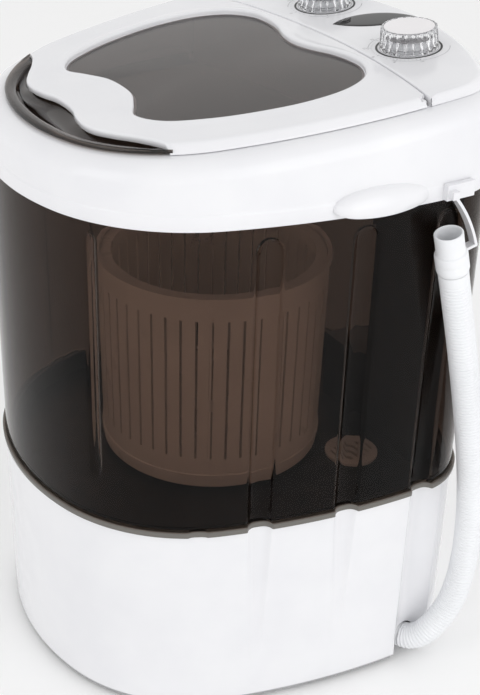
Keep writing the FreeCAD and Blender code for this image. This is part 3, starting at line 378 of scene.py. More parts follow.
def rib_place(p, x):
    pts = p.at(0)
    front = pts[:, 1] < -60
    return p.along[front][np.argmin(np.abs(pts[front, 0] - x))]


RIBS = [(rib_place(tub_plan, x), 4.6, 2.0) for x in (94, -94)]


def tub_depth(z):
    total = np.zeros(tub_plan.count)
    for place, half, bite in MAIN:
        total = np.maximum(total, flute(tub_plan, place, half, bite, 0, FLUTE_TOP, z, 12))
    for place, half, bite in FRONT:
        total = np.maximum(total, flute(tub_plan, place, half, bite, 0, FLUTE_TOP + 8, z, 9))
    for place, half, bite in RIBS:
        total = np.maximum(total, flute(tub_plan, place, half, bite, 226, FLUTE_TOP + 6, z, 6, 12))
    return total


heights = [186.5, 188.2, 188.9, 190, 193, 200, 215, 226, 229, 232, 235, 238, 245, 265, 290, 320,
           350, 380, 400, 415, 424]
heights += [FLUTE_TOP + i for i in (0, 2, 4, 5, 6, 7, 8, 9, 10, 11, 11.5, 12, 13, 15, 17)] + [447.6]
heights = sorted(set(heights))
outer = []
for inset, z in ((-1.6, 184.0), (-2.0, 184.4), (-2.0, 187.9), (-1.6, 188.4)):
    outer.append(tub_plan.row(inset + tub_depth(z), z))
for z in heights:
    if z > 188.5:
        outer.append(tub_plan.row(1.0 + tub_depth(z), z))
top_rows = [tub_plan.row(1.0, 447.8), tub_plan.row(3.4, 447.8), tub_plan.row(3.4, 459.5),
            tub_plan.row(5.6, 459.5)]
inner_rows = []
for z in reversed([h for h in heights if h > 188.5]):
    inner_rows.append(tub_plan.row(4.0 + tub_depth(z), z))
inner_rows.append(tub_plan.row(4.0 + tub_depth(184.2), 184.0))
tub = loft("outer_tub_wall", outer + top_rows + inner_rows, wrap_rows=True, sharp=60)
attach(tub, "housing")
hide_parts("outer_tub")

# ------------------------------------------------------------------ base housing
base_plan = Plan(1200)
BASE_FLUTES = [(base_plan.place(y, side), 10.5, 4.2) for side in (1, -1) for y in (-55, 18)]
HOLLOWS = [base_plan.place(100, side) for side in (1, -1)]
HOLLOW_LOW = 26


def base_depth(z):
    total = np.zeros(base_plan.count)
    for place, half, bite in BASE_FLUTES:
        fade = np.clip((z - 45) / (TUB_Z - 45), 0, 1) ** 1.2
        if fade > 0:
            x = np.abs(base_plan.gap(place)) / (half * (0.45 + 0.55 * fade))
            shape = np.where(x < 1, np.clip(1 - x ** 2.6, 0, 1), 0)
            total = np.maximum(total, bite * fade * shape)
    for place in HOLLOWS:
        s = np.abs(base_plan.gap(place))
        half, bite = 19.5, 9.0
        if z < HOLLOW_LOW:
            drop = (HOLLOW_LOW - z) / 20.0
            if drop >= 1:
                continue
            half *= math.sqrt(1 - drop * drop)
            bite *= math.sqrt(1 - drop ** 2.5)
        x = s / max(half, 1e-3)
        shape = np.where(x < 1, np.clip(1 - x * x, 0, 1) ** 0.85, 0)
        total = np.maximum(total, bite * shape)
    return total


base_heights = [8.2, 9.5, 11, 13, 15, 17, 19, 21, 23, 25, 27, 30, 35, 40, 46, 50, 56, 64, 74, 86,
                98, 110, 122, 134, 146, 158, 168, 176, 181, 183]
BASE_SKIN, BASE_INSIDE = 0.8, 3.8
BASE_LIP = TUB_Z - 0.2
lip_depth = base_depth(BASE_LIP)
base_rows = [base_plan.row(2.2, BASE_Z), base_plan.row(1.3, BASE_Z + 0.2)]
base_rows += [base_plan.row(BASE_SKIN + base_depth(z), z) for z in base_heights]
base_rows += [base_plan.row(1.1 + lip_depth, BASE_LIP), base_plan.row(3.6 + lip_depth, TUB_Z)]
base_rows += [base_plan.row(BASE_INSIDE + base_depth(z), z) for z in reversed(base_heights)]
base_rows += [base_plan.row(BASE_INSIDE, BASE_Z + 0.2)]
base = loft("base_housing_shell", base_rows, wrap_rows=True, sharp=60)


def tool_cylinder(name, radius, start, way, length, sides=48):
    start, way = np.array(start, float), np.array(way, float)
    way /= np.linalg.norm(way)
    side = np.cross(way, [0, 0, 1.0])
    side /= np.linalg.norm(side)
    up = np.cross(way, side)
    turn = np.linspace(0, 2 * PI, sides, endpoint=False)
    ringed = radius * (np.cos(turn)[:, None] * side + np.sin(turn)[:, None] * up)
    verts = np.concatenate([start + ringed, start + way * length + ringed]) * MM
    faces = grid_faces(2, sides) + [tuple(range(sides))[::-1], tuple(range(sides, 2 * sides))]
    return add(name, verts, faces, smooth=False)


def carve(obj, tools):
    for tool in tools:
        mod = obj.modifiers.new("carve", "BOOLEAN")
        mod.operation = "DIFFERENCE"
        mod.solver = "EXACT"
        mod.object = tool
    graph = bpy.context.evaluated_depsgraph_get()
    mesh = bpy.data.meshes.new_from_object(obj.evaluated_get(graph))
    obj.modifiers.clear()
    old, obj.data = obj.data, mesh
    bpy.data.meshes.remove(old)
    for tool in tools:
        bpy.data.objects.remove(tool)


def tool_prism(name, points, start, way, length):
    """A cutter: a flat outline, given across and up, carried along a way."""
    start, way = np.array(start, float), np.array(way, float)
    side = np.cross(way, [0, 0, 1.0])
    side /= np.linalg.norm(side)
    up = np.cross(side, way)
    flat = np.array([side * a + up * b for a, b in points])
    n = len(points)
    verts = np.concatenate([start + flat, start + way * length + flat]) * MM
    ends = [tuple(range(n))[::-1], tuple(range(n, 2 * n))]
    return add(name, verts, grid_faces(2, n) + ends, smooth=False)


# the arch that the hose leaves through, and the round hole of the lead inlet behind
way = np.array(HOSE[1], float) - np.array(HOSE[0], float)
way /= np.linalg.norm(way)
start = np.array(HOSE[1], float) - way * 30
OPENING_R = HOSE_R + 3.0
arch = [(OPENING_R * math.cos(a), OPENING_R * math.sin(a)) for a in np.linspace(0, PI, 33)]
arch += [(-OPENING_R, -27), (OPENING_R, -27)]
carve(base, [tool_prism("hose_hole", arch, start, way, 70),
             tool_cylinder("lead_hole", 8.0, (0, 168, 38), (0, 1, 0), 40)])
base.data.set_sharp_from_angle(angle=math.radians(50))
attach(base, "housing")
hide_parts("base_housing")

# ------------------------------------------------------------------ hand grips
GRIP_Y, GRIP_Z, GRIP_HALF = 30.0, RING_Z + 7, 42.0
GRIP_R, GRIP_TAPER, GRIP_WALL = 14.5, 60.0, 2.3
side_points = plan.at(0)
flank = side_points[(side_points[:, 0] > 0) & (side_points[:, 1] < 90)]
GRIP_X = float(np.interp(GRIP_Y, flank[:, 1], flank[:, 0])) - 5


def grip(name, side):
    """A lip that swells to its middle, with soft blunt ends, closed above and open below."""
    rows = []
    turns = np.radians(np.linspace(100, -28, 26))
    for t in np.sin(np.linspace(-PI / 2, PI / 2, 81)):
        y = GRIP_Y + GRIP_HALF * t
        taper = 1 - (GRIP_HALF * t / GRIP_TAPER) ** 2
        big = GRIP_R * taper * (1 - abs(t) ** 9) ** 0.5
        hollow = max(big - GRIP_WALL, big * 0.55)
        section = [(big, a) for a in turns] + [(hollow, a) for a in turns[::-1]]
        rows.append([(side * (GRIP_X + r * math.cos(a)), y, GRIP_Z + r * math.sin(a))
                     for r, a in section])
    return loft(name, rows, wrap_cols=True, sharp=60)


for side, node in ((1, "right_hand_grip"), (-1, "left_hand_grip")):
    obj = grip(node + "_lip", side)
    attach(obj, "housing")
    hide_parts(node)

# ------------------------------------------------------------------ lid
LID_INSET, LID_TOP, LID_GAP = 17.5, 7.0, 0.5
SEAM_R, SEAM_Y, SEAM_GAP = 700.0, 92.5, 1.4
SEAM_C = SEAM_Y - SEAM_R
MID = np.array([0.0, -14.0])
LOBES = [(0, -88), (20, -90), (38, -98), (58, -107), (80, -97), (98, -68), (110, -32),
         (116, 5), (113, 40), (100, 64), (80, 76), (62, 78), (40, 75), (18, 68), (0, 65.5)]
SCOOP = [(0, -137), (15, -138), (30, -142), (46, -144), (60, -142), (76, -134), (94, -123),
         (116, -114), (136, -116)]


def cubic(points, per=24, closed=False):
    """A smooth line through points (Catmull-Rom with chord-length knots)."""
    pts = [np.array(p, float) for p in points]
    n = len(pts)
    out = []
    for i in range(n if closed else n - 1):
        p1, p2 = pts[i], pts[(i + 1) % n]
        p0 = pts[i - 1] if closed or i else 2 * p1 - p2
        p3 = pts[(i + 2) % n] if closed or i + 2 < n else 2 * p2 - p1
        knots = [0]
        for a, b in ((p0, p1), (p1, p2), (p2, p3)):
            knots.append(knots[-1] + max(np.linalg.norm(b - a), 1e-6) ** 0.5)
        t0, t1, t2, t3 = knots
        for t in np.linspace(t1, t2, per, endpoint=False):
            a1 = (t1 - t) / (t1 - t0) * p0 + (t - t0) / (t1 - t0) * p1
            a2 = (t2 - t) / (t2 - t1) * p1 + (t - t1) / (t2 - t1) * p2
            a3 = (t3 - t) / (t3 - t2) * p2 + (t - t2) / (t3 - t2) * p3
            b1 = (t2 - t) / (t2 - t0) * a1 + (t - t0) / (t2 - t0) * a2
            b2 = (t3 - t) / (t3 - t1) * a2 + (t - t1) / (t3 - t1) * a3
            out.append((t2 - t) / (t2 - t1) * b1 + (t - t1) / (t2 - t1) * b2)
    if not closed:
        out.append(pts[-1])
    return np.array(out)


WINDOW = cubic(LOBES + [(-x, y) for x, y in reversed(LOBES[1:-1])], closed=True)
SCOOP_LINE = cubic([(-x, y) for x, y in reversed(SCOOP[1:])] + SCOOP)


def polar(line, angles, closed=True):
    """Radius of a line round MID at the given angles; infinite where it isn't."""
    d = line - MID
    a = np.unwrap(np.arctan2(d[:, 1], d[:, 0]))
    r = np.linalg.norm(d, axis=1)
    if a[-1] < a[0]:
        a, r = a[::-1], r[::-1]
    if closed:
        a = np.concatenate([a - 2 * PI, a, a + 2 * PI])
        r = np.concatenate([r, r, r])
        return np.interp(angles, a, r)
    shifts = [np.interp(angles + k, a, r, left=np.inf, right=np.inf) for k in (-2 * PI, 0, 2 * PI)]
    return np.min(shifts, axis=0)


def seam_radius(angles, radius=SEAM_R):
    """Distance from MID to the seam's arc along each angle."""
    d = np.stack([np.cos(angles), np.sin(angles)], 1)
    o = MID - np.array([0, SEAM_C])
    b = d @ o
    return -b + np.sqrt(b * b - (o @ o) + radius ** 2)


def outline_polar(inset, angles):
    return polar(plan.at(inset), angles)


fine_angles = np.linspace(-PI, PI, 20001)
fine_outline = outline_polar(LID_INSET, fine_angles)
fine_seam = seam_radius(fine_angles)
fine_scoop = polar(SCOOP_LINE, fine_angles, False)


def crossings(a, b):
    """Angles where two radius curves cross."""
    k = np.nonzero(np.diff(np.sign(np.where(np.isfinite(a - b), a - b, -1))))[0]
    return [fine_angles[i] for i in k]


kinks = crossings(fine_outline, fine_seam) + crossings(fine_scoop, fine_outline)
lid_angles = np.sort(np.concatenate([np.linspace(-PI, PI, 720, endpoint=False), kinks]))
in_r = polar(WINDOW, lid_angles)
outline_r = outline_polar(LID_INSET, lid_angles)
scoop_r = polar(SCOOP_LINE, lid_angles, False)
rear_r = seam_radius(lid_angles)
out_r = np.minimum(np.minimum(outline_r, scoop_r), rear_r)
has_scoop = np.isfinite(scoop_r)
at_scoop = np.where(has_scoop, smoothstep((outline_r - np.where(has_scoop, scoop_r, 1e3)) / 5.0), 0)
at_seam = smoothstep((outline_r - rear_r) / 3.0)
radial = np.stack([np.cos(lid_angles), np.sin(lid_angles)], 1)


def lid_row(r, z):
    p = MID + radial * r[:, None]
    return deck(np.column_stack([p, np.broadcast_to(z, len(r))]))


lid_rows = []
gap_w = out_r - in_r
# window edge, from the pane up and over
for back, height in ((-2.5, 4.0), (0.0, 4.0), (0.0, 6.3), (0.35, 7.2), (1.1, 7.9), (2.2, 8.2)):
    lid_rows.append(lid_row(in_r + back, height))
edge_w = 7.0 - 5.4 * at_seam - 4.0 * at_scoop
# the top, raised a little along the window and slightly domed
for f in np.linspace(0, 1, 15)[1:-1]:
    inner_d = 2.2 + (gap_w - 2.2 - edge_w) * f
    crown = 1.2 * (1 - smoothstep((inner_d - 2.2) / 9.0))
    dome = 0.5 * np.sin(PI * f)
    lid_rows.append(lid_row(in_r + inner_d, LID_TOP + crown + dome * (1 - f)))
# outer edge: a wide soft bevel, tight at the seam and at the finger recess
for k in range(8):
    f = k / 7
    drop_bevel = 5.6 * (1 - math.cos(f * PI / 2)) ** 0.85
    drop_tight = 1.5 * (1 - math.sqrt(max(0.0, 1 - f * f)))
    tight = np.maximum(at_seam, at_scoop)
    drop = drop_bevel * (1 - tight) + drop_tight * tight
    lid_rows.append(lid_row(out_r - edge_w * (1 - f), LID_TOP - drop))
lid_rows.append(lid_row(out_r, LID_GAP + 1.6 * at_scoop + 0.2))
lid_rows.append(lid_row(out_r - 0.4, LID_GAP + 1.4 * at_scoop + 0.0))
lid_rows.append(lid_row(out_r - 2.2, LID_GAP + 1.4 * at_scoop + 0.0))
lid_rows.append(lid_row(out_r - 3.0, np.full(len(out_r), 3.6)))
lid_rows.append(lid_row(in_r + 2.0, np.full(len(out_r), 3.9)))
lid = loft("lid_frame_moulded", lid_rows, wrap_rows=True, sharp=50)
# the rear corners stop short of the seam, so they clear the ring's rim as the lid swings up
BOX_FACES = [(0, 1, 3, 2), (4, 6, 7, 5), (0, 4, 5, 1), (2, 3, 7, 6), (0, 2, 6, 4), (1, 5, 7, 3)]
notch = []
for side in (1, -1):
    for near, far, front in ((159.5, 162.9, 68.2), (157.2, 170.0, 70.9)):
        x0, x1 = sorted((side * near, side * far))
        corners = [(x, y, z) for x in (x0, x1) for y in (front, 85) for z in (-5, 30)]
        notch.append(add("notch", deck(corners) * MM, BOX_FACES, smooth=False))
carve(lid, notch)
lid.data.set_sharp_from_angle(angle=math.radians(45))
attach(lid, "lid")
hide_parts("lid_frame")

# smoked window: a slightly crowned pane under the frame
pane_angles = np.linspace(-PI, PI, 360, endpoint=False)
pane_edge = polar(WINDOW, pane_angles) + 2.4
pane_radial = np.stack([np.cos(pane_angles), np.sin(pane_angles)], 1)
pane_rows = []
for face in (1, 0):
    order = np.linspace(0.02, 1, 16) if face else np.linspace(1, 0.02, 16)
    for f in order:
        p = MID + pane_radial * (pane_edge * f)[:, None]
        crown = 1.1 * (1 - f * f)
        z = (3.95 if face else 1.65) + crown
        pane_rows.append(deck(np.column_stack([p, np.full(len(p), z)])))
pane = loft("lid_window_pane", pane_rows, wrap_rows=False, sharp=60)
fill_holes(pane)
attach(pane, "lid")
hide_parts("lid_window")

# finger recess: a curved trough from under the frame out to the front edge
scoop_angles = np.linspace(min(kinks, key=lambda k: abs(k + PI * 0.75)) - 0.01,
                           min(kinks, key=lambda k: abs(k + PI * 0.25)) + 0.01, 260)
s_in = polar(SCOOP_LINE, scoop_angles, False)
s_in = np.where(np.isfinite(s_in), s_in, outline_polar(LID_INSET, scoop_angles))
s_out = outline_polar(LID_INSET + 0.5, scoop_angles)
s_in = np.minimum(s_in, s_out)
s_mouth = outline_polar(25.5, scoop_angles)
s_radial = np.stack([np.cos(scoop_angles), np.sin(scoop_angles)], 1)
top_skin, low_skin = [], []
for f in np.linspace(0, 1, 18):
    r = (s_in - 4.5) * (1 - f) + s_out * f
    r = np.maximum(r, s_in - 4.5)
    room = smoothstep((s_out - s_in) / 20.0)
    inside = smoothstep((s_mouth - r) / 5.0)
    hollow = np.sin(PI * np.clip(f * 1.15, 0, 1)) ** 0.8
    z = 2.4 + 2.1 * smoothstep((f - 0.45) / 0.5) - 4.6 * room * inside * hollow
    z = z - 1.4 * max(0.0, (f - 0.93) / 0.07) ** 2
    top_skin.append((r, z))
    low_skin.append((r, np.maximum(z - 1.3, np.where(r > s_mouth, LID_GAP + 0.15, -20))))
scoop_rows = []
for r, z in top_skin + low_skin[::-1]:
    p = MID + s_radial * r[:, None]
    scoop_rows.append(deck(np.column_stack([p, z])))
scoop = loft("lid_finger_scoop_trough", scoop_rows, wrap_rows=True, wrap_cols=False, sharp=60)
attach(scoop, "lid")
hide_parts("lid_finger_scoop")

# ------------------------------------------------------------------ control panel
# its outline is the lid's, set back; its skirt follows the ring's rear shoulder
SET_BACK = np.array([0.0, 10.0])
edge_all = plan.at(LID_INSET) + SET_BACK
behind = (edge_all[:, 1] > 40) & (np.hypot(edge_all[:, 0], edge_all[:, 1] - SEAM_C) > SEAM_R + SEAM_GAP)
panel_edge = edge_all[behind]
arc_len = np.concatenate([[0], np.cumsum(np.linalg.norm(np.diff(panel_edge, axis=0), axis=1))])
seam_x = (1 - 2 * arc_len / arc_len[-1]) * abs(panel_edge[0, 0])
panel_front = np.column_stack([seam_x, SEAM_C + np.sqrt((SEAM_R + SEAM_GAP) ** 2 - seam_x ** 2)])
span = panel_edge - panel_front
length = np.linalg.norm(span, axis=1)
unit = span / np.maximum(length, 1e-6)[:, None]
ring_edge = plan.at(0)


def shoulder_z(points):
    """Height of the ring's surface, in the deck's own axes, under points near its rear."""
    world = deck(np.column_stack([points, np.zeros(len(points))]))[:, :2]
    near = np.min(np.linalg.norm(world[:, None] - ring_edge[None], axis=2), axis=1)
    x = np.clip((RIM_R - near) / RIM_R, 0, 1)
    return -RIM_R * (1 - np.sqrt(1 - x * x))


def panel_row(d_front=None, d_rear=None, f=None, z=0.0):
    """A row at a distance from the seam or the rear edge, or a share f of the way between."""
    if d_front is not None:
        p = panel_front + unit * np.minimum(d_front, length * 0.45)[:, None]
    elif d_rear is not None:
        p = panel_edge - unit * np.minimum(d_rear, length * 0.45)[:, None]
    else:
        lo, hi = np.minimum(1.4, length * 0.45), length - np.minimum(7.0, length * 0.45)
        p = panel_front + unit * (lo + (hi - lo) * f)[:, None]
    if isinstance(z, str):
        z = shoulder_z(p) + 0.25
    return deck(np.column_stack([p, np.broadcast_to(z, len(p))]))


full = np.ones(len(panel_edge))
panel_rows = [panel_row(d_front=full * 1.2, z=-3.3), panel_row(d_front=full * 0.0, z=-3.3),
              panel_row(d_front=full * 0.0, z=5.6)]
for k in range(1, 6):
    a = math.radians(90 * k / 5)
    panel_rows.append(panel_row(d_front=full * 1.4 * (1 - math.cos(a)), z=5.6 + 1.4 * math.sin(a)))
for f in np.linspace(0, 1, 22):
    panel_rows.append(panel_row(f=f, z=LID_TOP))
for k in range(1, 11):
    f = k / 10
    panel_rows.append(panel_row(d_rear=full * 7.0 * (1 - f),
                                z=LID_TOP - 5.4 * (1 - math.cos(f * PI / 2)) ** 0.85))
panel_rows += [panel_row(d_rear=full * 0.0, z="rim"), panel_row(d_rear=full * 2.6, z="rim"),
               panel_row(d_rear=full * 3.0, z=4.0), panel_row(f=0.02, z=4.0)]
panel = loft("control_panel_moulded", panel_rows, wrap_rows=True, wrap_cols=False, sharp=50)
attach(panel, "housing")
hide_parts("control_panel")

# smoked leaf between the dials, fuller on its left and leaning to the right
LEAF_C, LEAF_L, LEAF_LEAN = np.array([5.0, 142.0]), 34.5, math.radians(26.7)
across = np.array([math.cos(LEAF_LEAN), -math.sin(LEAF_LEAN)])
along = np.array([math.sin(LEAF_LEAN), math.cos(LEAF_LEAN)])


def leaf_line(shrink, count=48):
    """The leaf's outline of two arcs, moved inwards."""
    line = []
    half_l = LEAF_L - shrink * 1.6
    for bulge, side in ((12.5 - shrink, 1), (18.5 - shrink, -1)):
        bulge = max(bulge, 0.3)
        bend = (bulge * bulge + half_l * half_l) / (2 * bulge)
        turn = math.asin(half_l / bend)
        for k in range(count):
            a = -turn + 2 * turn * k / count
            line.append(LEAF_C + across * side * (bend * math.cos(a) - (bend - bulge))
                        + along * side * bend * math.sin(a))
    return np.array(line)


leaf_rows = []
for shrink, z in ((0, 5.6), (0, 7.15), (0.25, 7.4), (0.7, 7.5), (3, 7.58), (6, 7.62), (9, 7.65),
                  (11.8, 7.66)):
    line = leaf_line(shrink)
    leaf_rows.append(deck(np.column_stack([line, np.full(len(line), z)])))
lens = loft("panel_lens_leaf", leaf_rows, wrap_rows=False, sharp=60)
fill_holes(lens)
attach(lens, "housing")
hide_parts("panel_lens")

# ------------------------------------------------------------------ dials
DIALS = {"wash": (72.4, 125.4), "mode": (-57.0, 135.0)}


def on_deck(obj):
    """Stand a piece that was made upright on the sloping deck."""
    co = np.zeros(len(obj.data.vertices) * 3)
    obj.data.vertices.foreach_get("co", co)
    moved = deck(co.reshape(-1, 3) / MM) * MM
    obj.data.vertices.foreach_set("co", moved.ravel())
    obj.data.update()
    return obj


KNOB_LOW, KNOB_H = LID_TOP + 0.5, 16.5


def knob_wobble(r, height, angles):
    """Twenty round flutes cut into the knob's wall between its foot and its top."""
    h = height - KNOB_LOW
    if h < 2.2 or h > KNOB_H - 0.2:
        return r
    depth = 1.55 * float(smoothstep((h - 2.2) / 1.6)) * float(smoothstep((KNOB_H - 0.1 - h) / 0.8))
    bump = np.abs(np.cos(10 * angles)) ** 0.6
    return r - depth * bump * (r > 17)


def knob_heights(profile):
    return [(r, KNOB_LOW + h) for r, h in profile]


KNOB = knob_heights([(22.9, 0), (23.0, 0.4), (23.0, 1.8), (22.8, 2.2), (22.75, 2.9), (22.7, 3.9),
                     (22.6, 5), (22.4, 7.5), (22.2, 10.5), (22.0, 13.2), (21.9, 14.2),
                     (21.85, 15.2), (21.7, 15.9), (21.2, 16.35), (20.4, 16.5), (19.6, 16.45),
                     (19.2, 16.25), (18.8, 16.2), (12, 16.2), (0.05, 16.2)])
KNOB_ROOM = knob_heights([(0.05, 9.5), (8, 9.4), (13, 9.1), (16.5, 8.2), (18.0, 6.4), (18.4, 3.5),
                          (18.5, 0)])
CORE = knob_heights([(0.05, 7.8), (6, 7.7), (10.5, 7.4), (13.4, 6.5), (14.6, 5.2), (15, 3.5),
                     (15, 0.5), (0.05, 0.5)])
CAP = knob_heights([(0.05, 16.3), (17.6, 16.28), (18.2, 16.34), (18.7, 16.46), (19.1, 16.48),
                    (19.35, 16.4), (19.35, 16.12), (0.05, 16.12)])

for switch, axis in DIALS.items():
    shell = lathe(switch + "_knob_clear", KNOB[::-1] + KNOB_ROOM[::-1], 240, axis,
                  knob_wobble, sharp=50)
    on_deck(shell)
    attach(shell, switch + "_dial")
    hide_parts(switch + "_knob")
    core = on_deck(lathe(switch + "_knob_core", CORE, 96, axis, sharp=40))
    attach(core, switch + "_dial")
    cap = on_deck(lathe(switch + "_knob_cap", CAP, 96, axis, sharp=40))
    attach(cap, switch + "_dial")

# printed scales round the dials: arcs, ticks and plain numbers, a hair above the panel
PRINT_Z = LID_TOP + 0.03
NUMBER_R, NUMBER_H = 34.2, 4.0


def band(centre, r0, r1, start, end, steps):
    """A flat arc on the panel, angles in degrees clockwise from the rear."""
    verts, faces = [], []
    for i in range(steps + 1):
        a = math.radians(start + (end - start) * i / steps)
        for r in (r0, r1):
            verts.append((centre[0] + r * math.sin(a), centre[1] + r * math.cos(a), PRINT_Z))
    for i in range(steps):
        faces.append((2 * i, 2 * i + 1, 2 * i + 3, 2 * i + 2))
    return verts, faces


def number(text, centre, height, turn):
    """A number in the built-in typeface, laid flat."""
    curve = bpy.data.curves.new("number", "FONT")
    curve.body = text
    curve.size = height
    curve.align_x = "CENTER"
    curve.align_y = "CENTER"
    curve.resolution_u = 3
    holder = bpy.data.objects.new("number", curve)
    mesh = bpy.data.meshes.new_from_object(holder)
    c, q = math.cos(turn), math.sin(turn)
    verts = [(centre[0] + v.co.x * c - v.co.y * q, centre[1] + v.co.x * q + v.co.y * c, PRINT_Z)
             for v in mesh.vertices]
    faces = [tuple(f.vertices) for f in mesh.polygons]
    bpy.data.objects.remove(holder)
    bpy.data.meshes.remove(mesh)
    bpy.data.curves.remove(curve)
    return verts, faces


def dial_print(name, centre, marks, sweep, fine_ticks):
    """One dial's scale: two thin arcs, fine ticks, and a longer tick and a number at each mark."""
    parts = [band(centre, 31.2, 31.55, -150, -35, 40), band(centre, 31.2, 31.55, 35, 150, 40)]
    start, end = sweep
    for i in range(fine_ticks + 1):
        a = start + (end - start) * i / fine_ticks
        parts.append(band(centre, 28.2, 29.4, a - 0.3, a + 0.3, 1))
    for i, text in enumerate(marks):
        a = start + (end - start) * i / max(1, len(marks) - 1)
        parts.append(band(centre, 28.2, 30.4, a - 0.5, a + 0.5, 1))
        spot = (centre[0] + NUMBER_R * math.sin(math.radians(a)),
                centre[1] + NUMBER_R * math.cos(math.radians(a)))
        parts.append(number(text, spot, NUMBER_H, 0.0))
    verts, faces = [], []
    for v, f in parts:
        faces += [tuple(k + len(verts) for k in face) for face in f]
        verts += v
    obj = add(name, deck(verts) * MM, faces, smooth=False)
    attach(obj, "housing")
    return obj


prints = [dial_print("wash_dial_scale", DIALS["wash"], ["3", "6", "9", "12", "15"], (110, 250), 24),
          dial_print("mode_dial_scale", DIALS["mode"], ["1", "0", "2"], (120, 240), 12)]

# ------------------------------------------------------------------ materials
MATERIALS = {}
FLANGE_TOP = 0.1884


def principled(name, **values):
    mat = bpy.data.materials.new(name)
    mat.use_nodes = True
    shader = mat.node_tree.nodes["Principled BSDF"]
    for key, value in values.items():
        shader.inputs[key.replace("_", " ")].default_value = value
    MATERIALS[name] = mat
    return mat, shader, mat.node_tree


def noise(tree, scale, detail=3):
    tex = tree.nodes.new("ShaderNodeTexCoord")
    n = tree.nodes.new("ShaderNodeTexNoise")
    n.inputs["Scale"].default_value = scale
    n.inputs["Detail"].default_value = detail
    tree.links.new(tex.outputs["Object"], n.inputs["Vector"])
    return n.outputs["Fac"]


def remap(tree, value, low, high, out_low, out_high):
    m = tree.nodes.new("ShaderNodeMapRange")
    m.inputs["From Min"].default_value = low
    m.inputs["From Max"].default_value = high
    m.inputs["To Min"].default_value = out_low
    m.inputs["To Max"].default_value = out_high
    tree.links.new(value, m.inputs["Value"])
    return m.outputs["Result"]


def tint(tree, value, first, second):
    mix = tree.nodes.new("ShaderNodeMix")
    mix.data_type = "RGBA"
    mix.inputs["A"].default_value = (*first, 1)
    mix.inputs["B"].default_value = (*second, 1)
    tree.links.new(value, mix.inputs["Factor"])
    return mix.outputs["Result"]


def bump(tree, shader, value, strength, distance):
    b = tree.nodes.new("ShaderNodeBump")
    b.inputs["Strength"].default_value = strength
    b.inputs["Distance"].default_value = distance
    tree.links.new(value, b.inputs["Height"])
    tree.links.new(b.outputs["Normal"], shader.inputs["Normal"])


def plastic(name, first, second, rough=(0.2, 0.3), grain=900, grain_bump=0.05, coat=0.0, spread=18):
    """Moulded plastic: faint tone changes, a fine grain and a slightly uneven gloss."""
    mat, shader, tree = principled(name, IOR=1.48)
    broad = noise(tree, spread, 3)
    fine_n = noise(tree, grain, 2)
    colour = tint(tree, remap(tree, broad, 0.35, 0.65, 0, 1), first, second)
    gloss = remap(tree, noise(tree, 60, 4), 0.3, 0.7, *rough)
    tree.links.new(colour, shader.inputs["Base Color"])
    tree.links.new(gloss, shader.inputs["Roughness"])
    if coat:
        shader.inputs["Coat Weight"].default_value = coat
        shader.inputs["Coat Roughness"].default_value = 0.12
    bump(tree, shader, fine_n, grain_bump, 0.0004)
    return mat


def smoked(name, first, second, ior, rough=(0.02, 0.07)):
    """See-through plastic with faint tone changes and a slightly uneven gloss."""
    mat, shader, tree = principled(name, IOR=ior, Transmission_Weight=1.0)
    colour = tint(tree, remap(tree, noise(tree, 9, 3), 0.3, 0.7, 0, 1), first, second)
    gloss = remap(tree, noise(tree, 40, 4), 0.35, 0.75, *rough)
    tree.links.new(colour, shader.inputs["Base Color"])
    tree.links.new(gloss, shader.inputs["Roughness"])
    return mat


plastic("white_gloss", (0.79, 0.79, 0.815), (0.82, 0.82, 0.84), (0.16, 0.26), coat=0.25)
plastic("white_satin", (0.76, 0.76, 0.775), (0.80, 0.80, 0.815), (0.34, 0.5))
plastic("basket_white", (0.86, 0.85, 0.83), (0.90, 0.89, 0.87), (0.26, 0.4))
plastic("black_plastic", (0.006, 0.006, 0.0065), (0.012, 0.012, 0.013), (0.35, 0.55), grain_bump=0.15)
plastic("grey_plastic", (0.33, 0.33, 0.34), (0.38, 0.38, 0.39), (0.4, 0.55), grain_bump=0.15)
plastic("print", (0.16, 0.16, 0.18), (0.22, 0.22, 0.24), (0.5, 0.6))
plastic("rubber", (0.02, 0.02, 0.02), (0.035, 0.035, 0.035), (0.6, 0.8), grain_bump=0.25)
plastic("hose_white", (0.80, 0.81, 0.83), (0.85, 0.86, 0.88), (0.28, 0.42))
tub_mat = smoked("smoked", (0.385, 0.30, 0.255), (0.425, 0.335, 0.285), 1.2)

# the tub's lower flange is paler and nearly solid: a painted highlight for the light band its edge
# catches
tree = tub_mat.node_tree
shader = tree.nodes["Principled BSDF"]
where = tree.nodes.new("ShaderNodeTexCoord")
height = tree.nodes.new("ShaderNodeSeparateXYZ")
tree.links.new(where.outputs["Object"], height.inputs["Vector"])
rim = remap(tree, height.outputs["Z"], FLANGE_TOP, FLANGE_TOP + 0.0004, 1.0, 0.0)
source = shader.inputs["Base Color"].links[0].from_socket
# painted highlight: the flange's paler colour stands in for the light its edge catches
flange_highlight = tree.nodes.new("ShaderNodeMix")
flange_highlight.data_type = "RGBA"
tree.links.new(rim, flange_highlight.inputs["Factor"])
tree.links.new(source, flange_highlight.inputs["A"])
flange_highlight.inputs["B"].default_value = (0.20, 0.19, 0.175, 1)
tree.links.new(flange_highlight.outputs["Result"], shader.inputs["Base Color"])
tree.links.new(remap(tree, height.outputs["Z"], FLANGE_TOP, FLANGE_TOP + 0.0004, 0.15, 1.0),
               shader.inputs["Transmission Weight"])
smoked("smoked_lid", (0.19, 0.15, 0.135), (0.25, 0.195, 0.175), 1.42)
smoked("smoked_scoop", (0.15, 0.12, 0.105), (0.18, 0.145, 0.125), 1.42, (0.06, 0.14))
smoked("smoked_leaf", (0.006, 0.005, 0.005), (0.012, 0.010, 0.009), 1.45)
plastic("frosted", (0.84, 0.82, 0.83), (0.88, 0.86, 0.87), (0.35, 0.5))
smoked("clear", (0.93, 0.94, 0.95), (0.97, 0.97, 0.98), 1.49, (0.01, 0.05))
